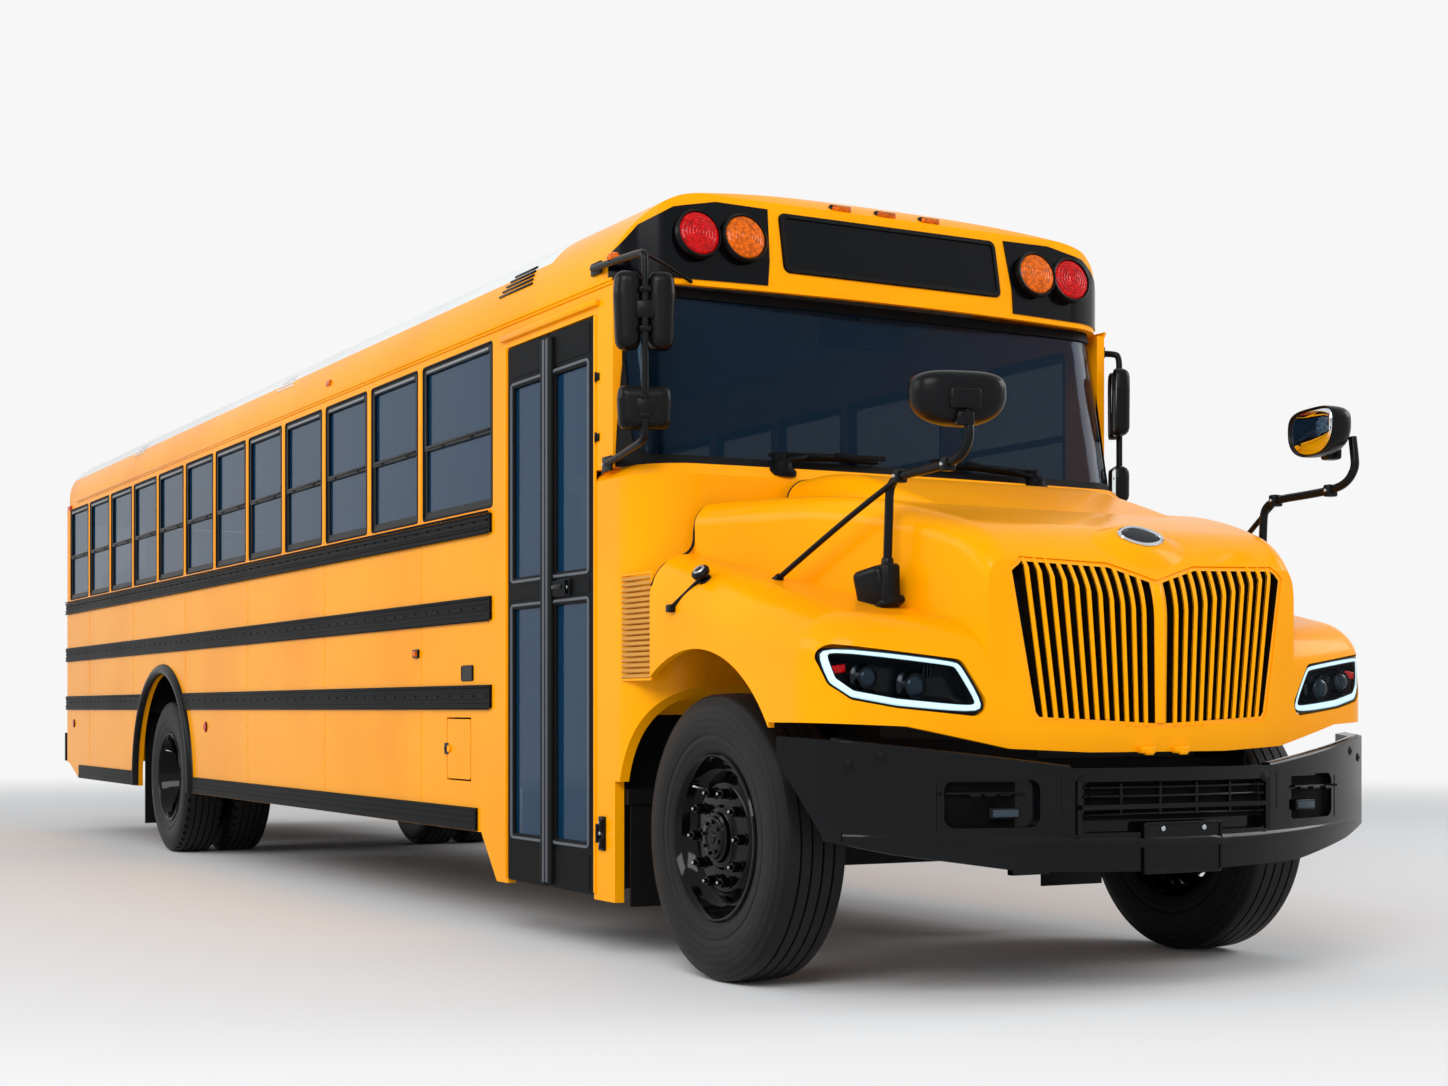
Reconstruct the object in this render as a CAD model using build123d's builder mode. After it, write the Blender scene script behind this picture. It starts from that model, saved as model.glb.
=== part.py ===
# A long-nose school bus: a yellow body on a ladder frame, a tilting hood with fenders,
# a two-leaf entry door, dual rear wheels, and seats inside. Lengths are in millimetres.
# +Z is up, the front faces -Y, the kerb side (entry door) is at -X, and the origin is on
# the ground under the middle of the bus.
from build123d import *
import math
import os

os.makedirs("parts", exist_ok=True)

# Driving dimensions, lengthwise ones measured back from the front axle
wheelbase = 7880
nose_overhang = 1150            # axle to the bumper's front
tail_overhang = 3310            # rear axle to the rear bumper's back
axle_f = nose_overhang - (nose_overhang + wheelbase + tail_overhang) / 2
axle_r = axle_f + wheelbase

body_half = 1220                # half the body's width
wall = 40                       # side, rear and cowl wall
skirt_z = 432                   # bottom edge of the side panels
floor_top = 1000
floor_t = 40
sill_z = 1875                   # bottom of the side windows
window_top = 2615
eave_z = 2650                   # top of the side walls, foot of the roof
roof_z = 3090                   # top of the roof's crown
roof_t = 30
cove_z = 2870                   # where the yellow coving ends and the white roof starts
roof_corner_r = 360
roof_crown_r = 5678

door_front = axle_f + 930       # entry door opening, front and rear edges
door_rear = axle_f + 1810
door_low = 236
door_high = 2545
step_low = 226                  # lowest edge of the panels beside the door
wide_start = axle_f + 1975      # first side window, wider than the rest
wide_w = 870
window_pitch = 735
post_w = 62
window_count = 11               # ordinary windows behind the wide one
body_rear = axle_f + 11090
rear_skirt_z = 550

cowl_y = axle_f + 420           # middle of the cowl's front face
cowl_top = 1930                 # foot of the windscreen
cap_y = axle_f + 590            # front face of the roof cap
cap_end = axle_f + 1480         # where the front cap meets the roof
rear_cap_len = 420

tyre_r = 520
tyre_w = 280
rim_r = 286
track_x = 1062                  # middle of a front tyre
dual_gap = 45                   # between the two tyres of a pair
hub_r = 84
arch_f_r = 660
arch_r_r = 740
gap = 8                         # running gap round the moving panels


def at_y(y):
    return Plane.XZ.offset(-y)


def at_x(x):
    return Plane.YZ.offset(x)


def plan_at(z):
    """A plan view whose second direction points to the front, so that v = -y."""
    return Plane((0, 0, z), x_dir=(1, 0, 0), z_dir=(0, 0, -1))


def crowned(half, base, apex, corner_r, crown_r):
    """Closed outline with straight sides, two corner arcs and a crown arc tangent to them."""
    cx = half - corner_r
    rise = math.sqrt((crown_r - corner_r) ** 2 - cx**2)
    cy = apex - crown_r + rise
    turn = math.atan2(rise, cx)

    def on_corner(angle):
        return cx + corner_r * math.cos(angle), cy + corner_r * math.sin(angle)

    middle, tangent = on_corner(turn / 2), on_corner(turn)
    Line((half, base), (half, cy))
    ThreePointArc((half, cy), middle, tangent)
    ThreePointArc(tangent, (0, apex), (-tangent[0], tangent[1]))
    ThreePointArc((-tangent[0], tangent[1]), (-middle[0], middle[1]), (-half, cy))
    Line((-half, cy), (-half, base))
    Line((-half, base), (half, base))


def save(builder, name):
    builder.part.label = name
    export_step(builder.part, f"parts/{name}.step")


# Window places along one side: front edge and width of each opening
kerb_windows = [(wide_start, wide_w)]
kerb_windows += [
    (wide_start + wide_w + post_w + i * window_pitch, window_pitch - post_w)
    for i in range(window_count)
]
driver_windows = [(door_front + 60, door_rear - door_front - 60)] + kerb_windows

# Side walls: one plate a side, with its windows and rear wheel arch cut
hatch_y = axle_f + 2230         # battery door, front edge
hatch_w = 300
hatch_low = 655
hatch_h = 290


def wall_outline(front):
    Polyline(
        (front, skirt_z),
        (body_rear - wall - 420, skirt_z),
        (body_rear - wall - 60, rear_skirt_z),
        (body_rear - wall, rear_skirt_z),
        (body_rear - wall, eave_z),
        (front, eave_z),
        close=True,
    )


def cut_windows(windows):
    for start, width in windows:
        with Locations((start + width / 2, (sill_z + window_top) / 2)):
            RectangleRounded(width, window_top - sill_z, 25, mode=Mode.SUBTRACT)


door_post = 110                 # body panel between the door and the first window
with BuildPart() as side_wall_kerb:
    with BuildSketch(at_x(-body_half)):
        with BuildLine():
            wall_outline(door_rear)
        make_face()
        with BuildLine():
            Polyline(
                (door_rear, skirt_z),
                (door_rear, step_low),
                (door_rear + 120, step_low),
                (door_rear + 300, skirt_z),
                close=True,
            )
        make_face()
        cut_windows(kerb_windows)
        with Locations((axle_r, tyre_r - 30)):
            Circle(arch_r_r, mode=Mode.SUBTRACT)
        with Locations((hatch_y + hatch_w / 2, hatch_low + hatch_h / 2)):
            Rectangle(hatch_w, hatch_h, mode=Mode.SUBTRACT)
    extrude(amount=wall)
save(side_wall_kerb, "side_wall_kerb")

with BuildPart() as side_wall_driver:
    with BuildSketch(at_x(body_half - wall)):
        with BuildLine():
            wall_outline(door_front)
        make_face()
        cut_windows(driver_windows)
        with Locations((axle_r, tyre_r - 30)):
            Circle(arch_r_r, mode=Mode.SUBTRACT)
    extrude(amount=wall)
save(side_wall_driver, "side_wall_driver")

# Entry door surround: the pillars beside the windscreen and the header over the door
pillar_front = axle_f + 760
with BuildPart() as door_surround:
    with BuildSketch(at_x(-body_half)):
        with BuildLine():
            Polyline(
                (pillar_front, cowl_top),
                (door_front, cowl_top),
                (door_front, door_high + gap),
                (door_rear, door_high + gap),
                (door_rear, eave_z),
                (pillar_front, eave_z),
                close=True,
            )
        make_face()
    extrude(amount=wall)
    with BuildSketch(at_x(body_half - wall)):
        with Locations(((pillar_front + door_front) / 2, (cowl_top + eave_z) / 2)):
            Rectangle(door_front - pillar_front, eave_z - cowl_top)
    extrude(amount=wall)
save(door_surround, "door_surround")

# Window frames: a black ring in each opening, with a rail at the lower pane's top
sash_w = 24
sash_t = 30
rail_share = 0.47
sash_inset = 4                  # ring's face behind the wall's face
pane_t = 6
window_h = window_top - sill_z
window_mid = (sill_z + window_top) / 2
sides = [(kerb_windows, -body_half, 1), (driver_windows, body_half, -1)]

with BuildPart() as window_frames:
    for windows, outer_x, inward in sides:
        with BuildSketch(at_x(outer_x + inward * sash_inset)):
            for start, width in windows:
                with Locations((start + width / 2, window_mid)):
                    RectangleRounded(width, window_h, 25)
                    Rectangle(width - 2 * sash_w, window_h - 2 * sash_w, mode=Mode.SUBTRACT)
                with Locations((start + width / 2, sill_z + rail_share * window_h)):
                    Rectangle(width - 2 * sash_w, 26)
        extrude(amount=inward * sash_t)
save(window_frames, "window_frames")

# Side panes stand behind the frames' faces, one above and one below each rail
rail_z = sill_z + rail_share * window_h
with BuildPart() as side_glass:
    for windows, outer_x, inward in sides:
        with BuildSketch(at_x(outer_x + inward * (sash_inset + 12))):
            for start, width in windows:
                low, high = sill_z + sash_w, window_top - sash_w
                for bottom, top in ((low, rail_z - 13), (rail_z + 13, high)):
                    with Locations((start + width / 2, (bottom + top) / 2)):
                        Rectangle(width - 2 * sash_w, top - bottom)
        extrude(amount=inward * pane_t)
save(side_glass, "side_glass")

# Cowl: the body's nose behind the hood, cut by the front wheel arches
cowl_corner_r = 267


def cowl_outline(inset, back):
    half = body_half - inset
    r = cowl_corner_r - inset
    cx = half - r
    cy = cowl_y + 35 + inset + r
    k = r * math.sqrt(0.5)
    Line((-half, back), (-half, cy))
    ThreePointArc((-half, cy), (-cx - k, cy - k), (-cx, cy - r))
    ThreePointArc((-cx, cy - r), (0, cowl_y + inset), (cx, cy - r))
    ThreePointArc((cx, cy - r), (cx + k, cy - k), (half, cy))
    Line((half, cy), (half, back))
    Line((half, back), (-half, back))


deck_t = 60
with BuildPart() as toe_board:
    with BuildSketch(Plane.XY.offset(step_low)):
        with BuildLine():
            cowl_outline(wall / 2, axle_f + 750)
        make_face()
    extrude(amount=1200)
    with BuildSketch(at_x(-body_half)):
        with BuildLine():
            Polyline(
                (axle_f + 750, floor_top - floor_t), (axle_f + 750, floor_top),
                (axle_f + 640, floor_top + 60), (axle_f + 430, 1230), (axle_f + 400, 1190),
                (axle_f + 620, floor_top + 16), close=True,
            )
        make_face()
    extrude(amount=2 * body_half, mode=Mode.INTERSECT)
with BuildPart() as cowl:
    with BuildSketch(Plane.XY.offset(step_low)):
        with BuildLine():
            cowl_outline(0, door_front)
        make_face()
    extrude(amount=cowl_top - step_low)
    chamfer(cowl.edges().group_by(Axis.Z)[-1].sort_by(Axis.Y)[0:3], 45)
    with BuildSketch(Plane.XY.offset(step_low - 1)):
        with BuildLine():
            cowl_outline(wall, door_front + 10)
        make_face()
    extrude(amount=cowl_top - deck_t - step_low, mode=Mode.SUBTRACT)
    with BuildSketch(at_x(-body_half - 10)):
        with Locations((axle_f + 60, tyre_r + 20)):
            Circle(arch_f_r)
        with BuildLine():
            Polyline(
                (axle_f + 300, step_low - 10),
                (axle_f + 741, step_low - 10),
                (axle_f + 741, 700),
                (axle_f + 300, 700),
                close=True,
            )
        make_face()
    extrude(amount=2 * body_half + 20, mode=Mode.SUBTRACT)
    with Locations((0, axle_f + 500, 0)):
        Box(1240, 900, 2 * 1150, mode=Mode.SUBTRACT)
    with Locations((body_half - wall, axle_f + 800, step_low - 50)):
        Box(200, 400, skirt_z - step_low + 50, align=(Align.CENTER, Align.CENTER, Align.MIN),
            mode=Mode.SUBTRACT)
    add(toe_board.part)
save(cowl, "cowl")

# Windscreen: a leaning shell, its pane cut from the same shape as its black surround
screen_low_y = axle_f + 545
screen_high_y = axle_f + 690
screen_half = body_half - 6
screen_top = eave_z


def screen_outline(front, inset, back):
    half = screen_half - inset
    r = 230 - inset
    cx = half - r
    cy = front + 25 + inset + r
    k = r * math.sqrt(0.5)
    Line((-half, back), (-half, cy))
    ThreePointArc((-half, cy), (-cx - k, cy - k), (-cx, cy - r))
    ThreePointArc((-cx, cy - r), (0, front + inset), (cx, cy - r))
    ThreePointArc((cx, cy - r), (cx + k, cy - k), (half, cy))
    Line((half, cy), (half, back))
    Line((half, back), (-half, back))


def screen_solid(inset):
    with BuildPart() as solid:
        for z, front in ((cowl_top, screen_low_y), (screen_top, screen_high_y)):
            with BuildSketch(Plane.XY.offset(z)):
                with BuildLine():
                    screen_outline(front, inset, axle_f + 1000 + inset)
                make_face()
        loft()
    return solid.part


screen_outer = screen_solid(0)
pane_outer = screen_solid(9)
pane_inner = screen_solid(15)
screen_inner = screen_solid(26)

screen_w = 2 * 1172
screen_h = 640
with BuildPart() as screen_gasket:
    add(screen_outer)
    add(screen_inner, mode=Mode.SUBTRACT)
    with BuildSketch(at_y(axle_f + 300)):
        with Locations((0, (cowl_top + screen_top) / 2)):
            RectangleRounded(screen_w, screen_h, 70)
    extrude(amount=-900, mode=Mode.SUBTRACT)
    with Locations((0, pillar_front + 500, 2200)):
        Box(3000, 1000, 2000, mode=Mode.SUBTRACT)
save(screen_gasket, "windscreen_gasket")

with BuildPart() as windscreen:
    add(pane_outer)
    add(pane_inner, mode=Mode.SUBTRACT)
    with BuildSketch(at_y(axle_f + 300)):
        with Locations((0, (cowl_top + screen_top) / 2)):
            RectangleRounded(screen_w, screen_h, 70)
    extrude(amount=-(pillar_front - axle_f - 300), mode=Mode.INTERSECT)
save(windscreen, "windscreen")

# Roof cap over the windscreen: crowned section, leaning face and rounded plan corners
cap_lean = 75
cap_corner_r = 280


def cap_solid(inset, back):
    half = body_half - inset
    r = cap_corner_r - inset
    cx = half - r
    cy = cap_y + 60 + inset + r
    k = r * math.sqrt(0.5)
    face = cap_y + cap_lean + inset
    top = roof_z - inset
    with BuildPart() as solid:
        with BuildSketch(at_y(cap_y + inset)):
            with BuildLine():
                crowned(half, eave_z, top, roof_corner_r - inset, roof_crown_r)
            make_face()
        extrude(amount=-(back - cap_y - inset))
        with BuildSketch(Plane.XY.offset(eave_z)):
            with BuildLine():
                Line((-half, back), (-half, cy))
                ThreePointArc((-half, cy), (-cx - k, cy - k), (-cx, cy - r))
                ThreePointArc((-cx, cy - r), (0, cap_y + inset), (cx, cy - r))
                ThreePointArc((cx, cy - r), (cx + k, cy - k), (half, cy))
                Line((half, cy), (half, back))
                Line((half, back), (-half, back))
            make_face()
        extrude(amount=roof_z - eave_z, mode=Mode.INTERSECT)
        with BuildSketch(at_x(-body_half)):
            with BuildLine():
                Line((cap_y + inset, eave_z), (face, 3020 - inset))
                ThreePointArc((face, 3020 - inset), (face + 75, 3068 - inset), (cap_y + 450, top))
                Line((cap_y + 450, top), (back, top))
                Line((back, top), (back, eave_z))
                Line((back, eave_z), (cap_y + inset, eave_z))
            make_face()
        extrude(amount=2 * body_half, mode=Mode.INTERSECT)
    return solid.part


cap_inner = cap_solid(roof_t, cap_end + 10)
with BuildPart() as front_cap:
    add(cap_solid(0, cap_end))
    add(cap_inner, mode=Mode.SUBTRACT)
save(front_cap, "front_cap")

# Roof: a crowned shell with two hatch openings, and the yellow coving below it
roof_start = cap_end
roof_end = body_rear - rear_cap_len
hatch_side = 600
hatch_mids = (axle_f + 3400, axle_f + 8700)

with BuildPart() as roof:
    with BuildSketch(at_y(roof_start)):
        with BuildLine():
            crowned(body_half, eave_z, roof_z, roof_corner_r, roof_crown_r)
        make_face()
        with BuildLine():
            crowned(
                body_half - roof_t, eave_z, roof_z - roof_t,
                roof_corner_r - roof_t, roof_crown_r - roof_t,
            )
        make_face(mode=Mode.SUBTRACT)
        Rectangle(3000, 2 * cove_z, mode=Mode.SUBTRACT)
    extrude(amount=-(roof_end - roof_start))
    for mid in hatch_mids:
        with Locations((0, mid, roof_z)):
            Box(hatch_side, hatch_side, 400, mode=Mode.SUBTRACT)
save(roof, "roof")

with BuildPart() as roof_coves:
    with BuildSketch(at_y(roof_start)):
        with BuildLine():
            crowned(body_half, eave_z, roof_z, roof_corner_r, roof_crown_r)
        make_face()
        with BuildLine():
            crowned(
                body_half - roof_t, eave_z, roof_z - roof_t,
                roof_corner_r - roof_t, roof_crown_r - roof_t,
            )
        make_face(mode=Mode.SUBTRACT)
        with Locations((0, cove_z + 500)):
            Rectangle(3000, 1000, mode=Mode.SUBTRACT)
    extrude(amount=-(roof_end - roof_start))
save(roof_coves, "roof_coves")


# Rear cap: the roof's end, rounded down to the rear wall
def tail_solid(inset, front):
    half = body_half - inset
    top = roof_z - inset
    back = body_rear - inset
    r = 140 - inset
    k = r * math.sqrt(0.5)
    with BuildPart() as solid:
        with BuildSketch(at_y(front)):
            with BuildLine():
                crowned(half, eave_z, top, roof_corner_r - inset, roof_crown_r - inset)
            make_face()
        extrude(amount=-(back - front))
        with BuildSketch(at_x(-body_half)):
            with BuildLine():
                Line((front, eave_z), (front, top))
                Line((front, top), (back - 340, top))
                ThreePointArc((back - 340, top), (back - 112, top - 72), (back, top - 250))
                Line((back, top - 250), (back, eave_z))
                Line((back, eave_z), (front, eave_z))
            make_face()
        extrude(amount=2 * body_half, mode=Mode.INTERSECT)
        with BuildSketch(Plane.XY.offset(eave_z)):
            with BuildLine():
                Line((-half, front), (-half, back - r))
                ThreePointArc((-half, back - r), (-half + r - k, back - r + k), (-half + r, back))
                Line((-half + r, back), (half - r, back))
                ThreePointArc((half - r, back), (half - r + k, back - r + k), (half, back - r))
                Line((half, back - r), (half, front))
                Line((half, front), (-half, front))
            make_face()
        extrude(amount=roof_z - eave_z, mode=Mode.INTERSECT)
    return solid.part


tail_inner = tail_solid(roof_t, roof_end - 10)
with BuildPart() as rear_cap:
    add(tail_solid(0, roof_end))
    add(tail_inner, mode=Mode.SUBTRACT)
save(rear_cap, "rear_cap")

# Rear wall with the emergency door's opening and two windows
exit_half = 430
exit_low = 1010
exit_high = 2510
exit_window_low = 1790
rear_window_w = 470
with BuildPart() as rear_wall:
    with BuildSketch(at_y(body_rear - wall)):
        with Locations((0, (rear_skirt_z + eave_z) / 2)):
            Rectangle(2 * body_half, eave_z - rear_skirt_z)
        with Locations((0, (exit_low + exit_high) / 2)):
            RectangleRounded(2 * exit_half, exit_high - exit_low, 40, mode=Mode.SUBTRACT)
        for side in (-1, 1):
            with Locations((side * 800, (exit_window_low + exit_high) / 2)):
                RectangleRounded(
                    rear_window_w, exit_high - exit_window_low, 40, mode=Mode.SUBTRACT
                )
    extrude(amount=-wall)
    fillet(rear_wall.edges().filter_by(Axis.Z).filter_by_position(
        Axis.Y, body_rear - 1, body_rear + 1).filter_by(
        lambda e: abs(abs(e.center().X) - body_half) < 1), 30)
save(rear_wall, "rear_wall")

# Ladder frame: two channels and their cross members, with the floor's bearers on top
rail_x = 430
rail_low = 620
rail_high = 870
rail_front = axle_f - 950
rail_back = body_rear - wall
floor_low = floor_top - floor_t
floor_front = axle_f + 750

with BuildPart() as frame_rails:
    with BuildSketch(at_y(rail_front)):
        for side in (-1, 1):
            with Locations((side * rail_x, (rail_low + rail_high) / 2)):
                Rectangle(80, rail_high - rail_low)
            with Locations((side * (rail_x - 10), (rail_low + rail_high) / 2)):
                Rectangle(80, rail_high - rail_low - 24, mode=Mode.SUBTRACT)
    extrude(amount=-(rail_back - rail_front))
    cross_places = [-820, 1300, 2700, 4100, 5500, 6900, 8900, 10100, 11000]
    with Locations([(0, axle_f + y, rail_low + 110) for y in cross_places]):
        Box(2 * rail_x + 62, 70, 160)
    bearer_places = [1000, 2100, 3300, 4500, 5700, 6900, 8860, 9900, 10900]
    with Locations([(0, axle_f + y, (rail_high + floor_low) / 2) for y in bearer_places]):
        Box(1040, 80, floor_low - rail_high)
save(frame_rails, "frame_rails")

# Floor with the stepwell and the rear wheel boxes
step_levels = [(-1150, -960, 292), (-960, -760, 528), (-760, -560, 764)]
step_t = 30
well_x = step_levels[-1][1]
box_x = 540
box_half = 660
box_top = 1250
with BuildPart() as floor:
    with BuildSketch(Plane.XY.offset(floor_low)):
        with Locations((0, (floor_front + body_rear - wall) / 2)):
            Rectangle(2 * (body_half - wall), body_rear - wall - floor_front)
        with Locations(((well_x - body_half) / 2, (door_front + door_rear) / 2)):
            Rectangle(body_half + well_x, door_rear - door_front - 2 * step_t,
                      mode=Mode.SUBTRACT)
        for side in (-1, 1):
            with Locations((side * (box_x + body_half) / 2, axle_r)):
                Rectangle(body_half - box_x, 2 * box_half, mode=Mode.SUBTRACT)
    extrude(amount=floor_t)
    # steps: treads and risers as one folded section between two side plates
    with BuildSketch(at_y(door_front)):
        with BuildLine():
            Polyline(
                (-1150, 262), (-930, 262), (-930, 498), (-730, 498), (-730, 734),
                (-530, 734), (-530, floor_top), (-560, floor_top), (-560, 764),
                (-760, 764), (-760, 528), (-960, 528), (-960, 292), (-1150, 292),
                close=True,
            )
        make_face()
    extrude(amount=-(door_rear - door_front))
    with BuildSketch(at_y(door_front)):
        with BuildLine():
            Polyline(
                (-1150, 262), (-930, 262), (-930, 498), (-730, 498), (-730, 734),
                (-530, 734), (-530, floor_top), (-1150, floor_top), close=True,
            )
        make_face()
    extrude(amount=-step_t)
    with BuildSketch(at_y(door_rear - step_t)):
        with BuildLine():
            Polyline(
                (-1150, 262), (-930, 262), (-930, 498), (-730, 498), (-730, 734),
                (-530, 734), (-530, floor_top), (-1150, floor_top), close=True,
            )
        make_face()
    extrude(amount=-step_t)
    # wheel boxes, open below
    for side in (-1, 1):
        with Locations((side * (box_x + body_half - wall) / 2, axle_r,
                        (floor_low + box_top) / 2)):
            Box(body_half - wall - box_x + 2 * step_t, 2 * box_half + 2 * step_t,
                box_top - floor_low)
    for side in (-1, 1):
        with Locations((side * (box_x + body_half) / 2, axle_r, (floor_low + box_top) / 2 - step_t)):
            Box(body_half - box_x, 2 * box_half, box_top - floor_low, mode=Mode.SUBTRACT)
    # trim whatever would stand in the side walls
    for side in (-1, 1):
        with Locations((side * (body_half - wall + 200), 0, 1000)):
            Box(400, 14000, 3000, mode=Mode.SUBTRACT)
save(floor, "floor")

# Engine with its gearbox, radiator and fan, all plain blocks and cylinders
with BuildPart() as engine:
    with Locations((0, axle_f - 60, 1010)):
        Box(460, 860, 420)
    with Locations((0, axle_f - 60, 1270)):
        Box(300, 760, 100)
    with Locations((0, axle_f - 60, 740)):
        Box(300, 700, 120)
    with Locations((-285, axle_f - 60, 1090)):
        Box(110, 620, 130)
    with Locations((0, axle_f + 620, 770)):
        Cylinder(160, 520, rotation=(90, 0, 0))
    with Locations((0, axle_f + 960, 690)):
        Box(200, 240, 320)
    with Locations((0, axle_f - 640, 1080)):
        Cylinder(250, 60, rotation=(90, 0, 0))
    with Locations((0, axle_f - 560, 1080)):
        Cylinder(60, 160, rotation=(90, 0, 0))
    with Locations((0, axle_f - 740, 1060)):
        Box(740, 90, 800)
save(engine, "engine")

# Axles: front beam with leaf springs, rear housing with leaf springs
pin_x = 900                     # steering pivots
with BuildPart() as axles:
    with Locations((0, axle_f, tyre_r - 60)):
        Box(1400, 110, 110)
    for side in (-1, 1):
        with Locations((side * (pin_x - 145), axle_f, tyre_r)):
            Box(230, 84, 90)
        with Locations((side * pin_x, axle_f, tyre_r)):
            Cylinder(42, 90)
        with Locations((side * rail_x, axle_f, tyre_r + 20)):
            Box(76, 1300, 52)
        with Locations((side * rail_x, axle_f - 620, rail_low - 45),
                       (side * rail_x, axle_f + 620, rail_low - 45)):
            Box(76, 90, 90)
        with Locations((side * rail_x, axle_r, rail_low - 34)):
            Box(76, 1400, 60)
        with Locations((side * rail_x, axle_r - 670, rail_low - 55),
                       (side * rail_x, axle_r + 670, rail_low - 55)):
            Box(76, 90, 110)
    with Locations((0, axle_r, tyre_r)):
        Cylinder(72, 1240, rotation=(0, 90, 0))
    with Locations((0, axle_r, tyre_r)):
        Cylinder(60, 1790, rotation=(0, 90, 0))
    with Locations((0, axle_r, tyre_r)):
        Sphere(190)
save(axles, "axles")

# Propeller shaft, exhaust and silencer under the floor
with BuildPart() as driveline:
    with Locations((0, (axle_f + 1080 + axle_r - 190) / 2, 570)):
        Cylinder(38, axle_r - axle_f - 1270, rotation=(90, 0, 0))
    with Locations((645, axle_f + 3200, 640)):
        Cylinder(130, 900, rotation=(90, 0, 0))
    with Locations((645, axle_f + 5100, 640)):
        Cylinder(50, 3000, rotation=(90, 0, 0))
save(driveline, "driveline")

with BuildPart() as fuel_tank:
    with BuildSketch(at_y(axle_f + 9200)):
        with Locations((0, 640)):
            RectangleRounded(700, 380, 60)
    extrude(amount=-800)
    with Locations((0, axle_f + 9350, 850), (0, axle_f + 9850, 850)):
        Box(780, 60, 40)
save(fuel_tank, "fuel_tank")

# Rub rails and skirt rails: ribbed channels, broken at the wheel arches
rail_out = 14
rail_bands = [                  # bottom, top, ends before the rear skirt's cut
    (435, 538, True),
    (988, 1091, False),
    (1381, 1484, False),
    (1767, 1852, False),
]
rail_starts = {-1: wide_start + 10, 1: door_front + 20}
with BuildPart() as rub_rails:
    for side in (-1, 1):
        for low, high, is_skirt in rail_bands:
            start = rail_starts[side]
            end = body_rear - 520 if is_skirt else body_rear - 40
            if is_skirt and side < 0:
                start = door_rear + 340
            pieces = [(start, end)]
            reach = arch_r_r**2 - (min(abs(low - 490), abs(high - 490))) ** 2
            if low < 1200 and reach > 0:
                half = math.sqrt(reach) + 12
                if low > 900:
                    half = math.sqrt(arch_r_r**2 - (low - 490) ** 2) + 12
                else:
                    half = arch_r_r + 12
                pieces = [(start, axle_r - half), (axle_r + half, end)]
            for first, last in pieces:
                mid = (low + high) / 2
                with BuildSketch(at_y(first)):
                    with Locations((side * (body_half + rail_out / 2), mid)):
                        Rectangle(rail_out, high - low)
                    for k in (-1, 0, 1):
                        with Locations((side * (body_half + rail_out), mid + k * 26 + 13)):
                            Rectangle(8, 9, mode=Mode.SUBTRACT)
                extrude(amount=-(last - first))
    with Locations((body_half + 15, axle_f + 1100, 1620)):
        Box(30, 60, 240)
save(rub_rails, "rub_rails")

# Front bumper: a wrapped band with a centre slot, two lamp recesses and a blank plate
def bumper_outline(inset):
    front = axle_f - nose_overhang + inset
    half = 1297 - inset
    ends = axle_f - 600
    ThreePointArc((-half + 90, ends - 190), (0, front), (half - 90, ends - 190))
    Line((half - 90, ends - 190), (half, ends))
    Line((half, ends), (-half, ends))
    Line((-half, ends), (-half + 90, ends - 190))


with BuildPart() as bumper_back:
    with BuildSketch(Plane.XY.offset(572)):
        with BuildLine():
            bumper_outline(38)
        make_face()
    extrude(amount=190)
    with BuildSketch(Plane.XY.offset(560)):
        with BuildLine():
            bumper_outline(52)
        make_face()
    extrude(amount=220, mode=Mode.SUBTRACT)
    with Locations((0, axle_f - 900, 660)):
        Box(1860, 560, 300, mode=Mode.INTERSECT)

with BuildPart() as bumper_front:
    with BuildSketch(Plane.XY.offset(434)):
        with BuildLine():
            bumper_outline(0)
        make_face()
    extrude(amount=470)
    fillet(bumper_front.edges().filter_by(Axis.Z).sort_by(Axis.Y)[0:2], 60)
    with BuildSketch(Plane.XY.offset(400)):
        with BuildLine():
            bumper_outline(50)
        make_face()
        with Locations((0, axle_f - 560)):
            Rectangle(3000, 120)
    extrude(amount=520, mode=Mode.SUBTRACT)
    with BuildSketch(at_y(axle_f - 1300)):
        with BuildLine():
            Polyline((-1310, 896), (-900, 842), (-450, 786), (450, 786), (900, 842),
                     (1310, 896), (1310, 1000), (-1310, 1000), close=True)
        make_face()
        with BuildLine():
            Polyline((-1310, 572), (-1000, 505), (-600, 446), (0, 434), (600, 446),
                     (1000, 505), (1310, 572), (1310, 300), (-1310, 300), close=True)
        make_face()
        for side in (-1, 1):
            with Locations((side * 705, 671)):
                RectangleRounded(310, 158, 35)
        with Locations((0, 655)):
            RectangleRounded(820, 170, 30)
    extrude(amount=-900, mode=Mode.SUBTRACT)
    with BuildSketch(at_x(-1310)):
        with BuildLine():
            Polyline((axle_f - 590, 860), (axle_f - 590, 500), (axle_f - 800, 500),
                     (axle_f - 780, 572), close=True)
        make_face()
    extrude(amount=2620, mode=Mode.SUBTRACT)
    add(bumper_back.part)
    with Locations((0, axle_f - nose_overhang + 30, 655)):
        Box(830, 22, 16)
    for side in (-1, 1):
        with Locations((side * 415, axle_f - nose_overhang + 62, 655)):
            Box(20, 60, 180)
    with Locations((0, axle_f - nose_overhang + 8, 515)):
        Box(340, 16, 170)
    for side in (-1, 1):
        with Locations((side * rail_x, axle_f - 1025, 700)):
            Box(90, 150, 130)
        with Locations((side * 530, axle_f - 990, 455)):
            Box(150, 30, 50)
        with Locations((side * 530, axle_f - 1020, 480)):
            Box(120, 80, 30)
save(bumper_front, "bumper_front")

with BuildPart() as bumper_rear:
    with BuildSketch(Plane.XY.offset(560)):
        with Locations((0, body_rear + 60)):
            RectangleRounded(2 * body_half, 80, 30)
    extrude(amount=230)
    for side in (-1, 1):
        with Locations((side * rail_x, body_rear + 12, 700)):
            Box(60, 24, 160)
save(bumper_rear, "bumper_rear")

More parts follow.
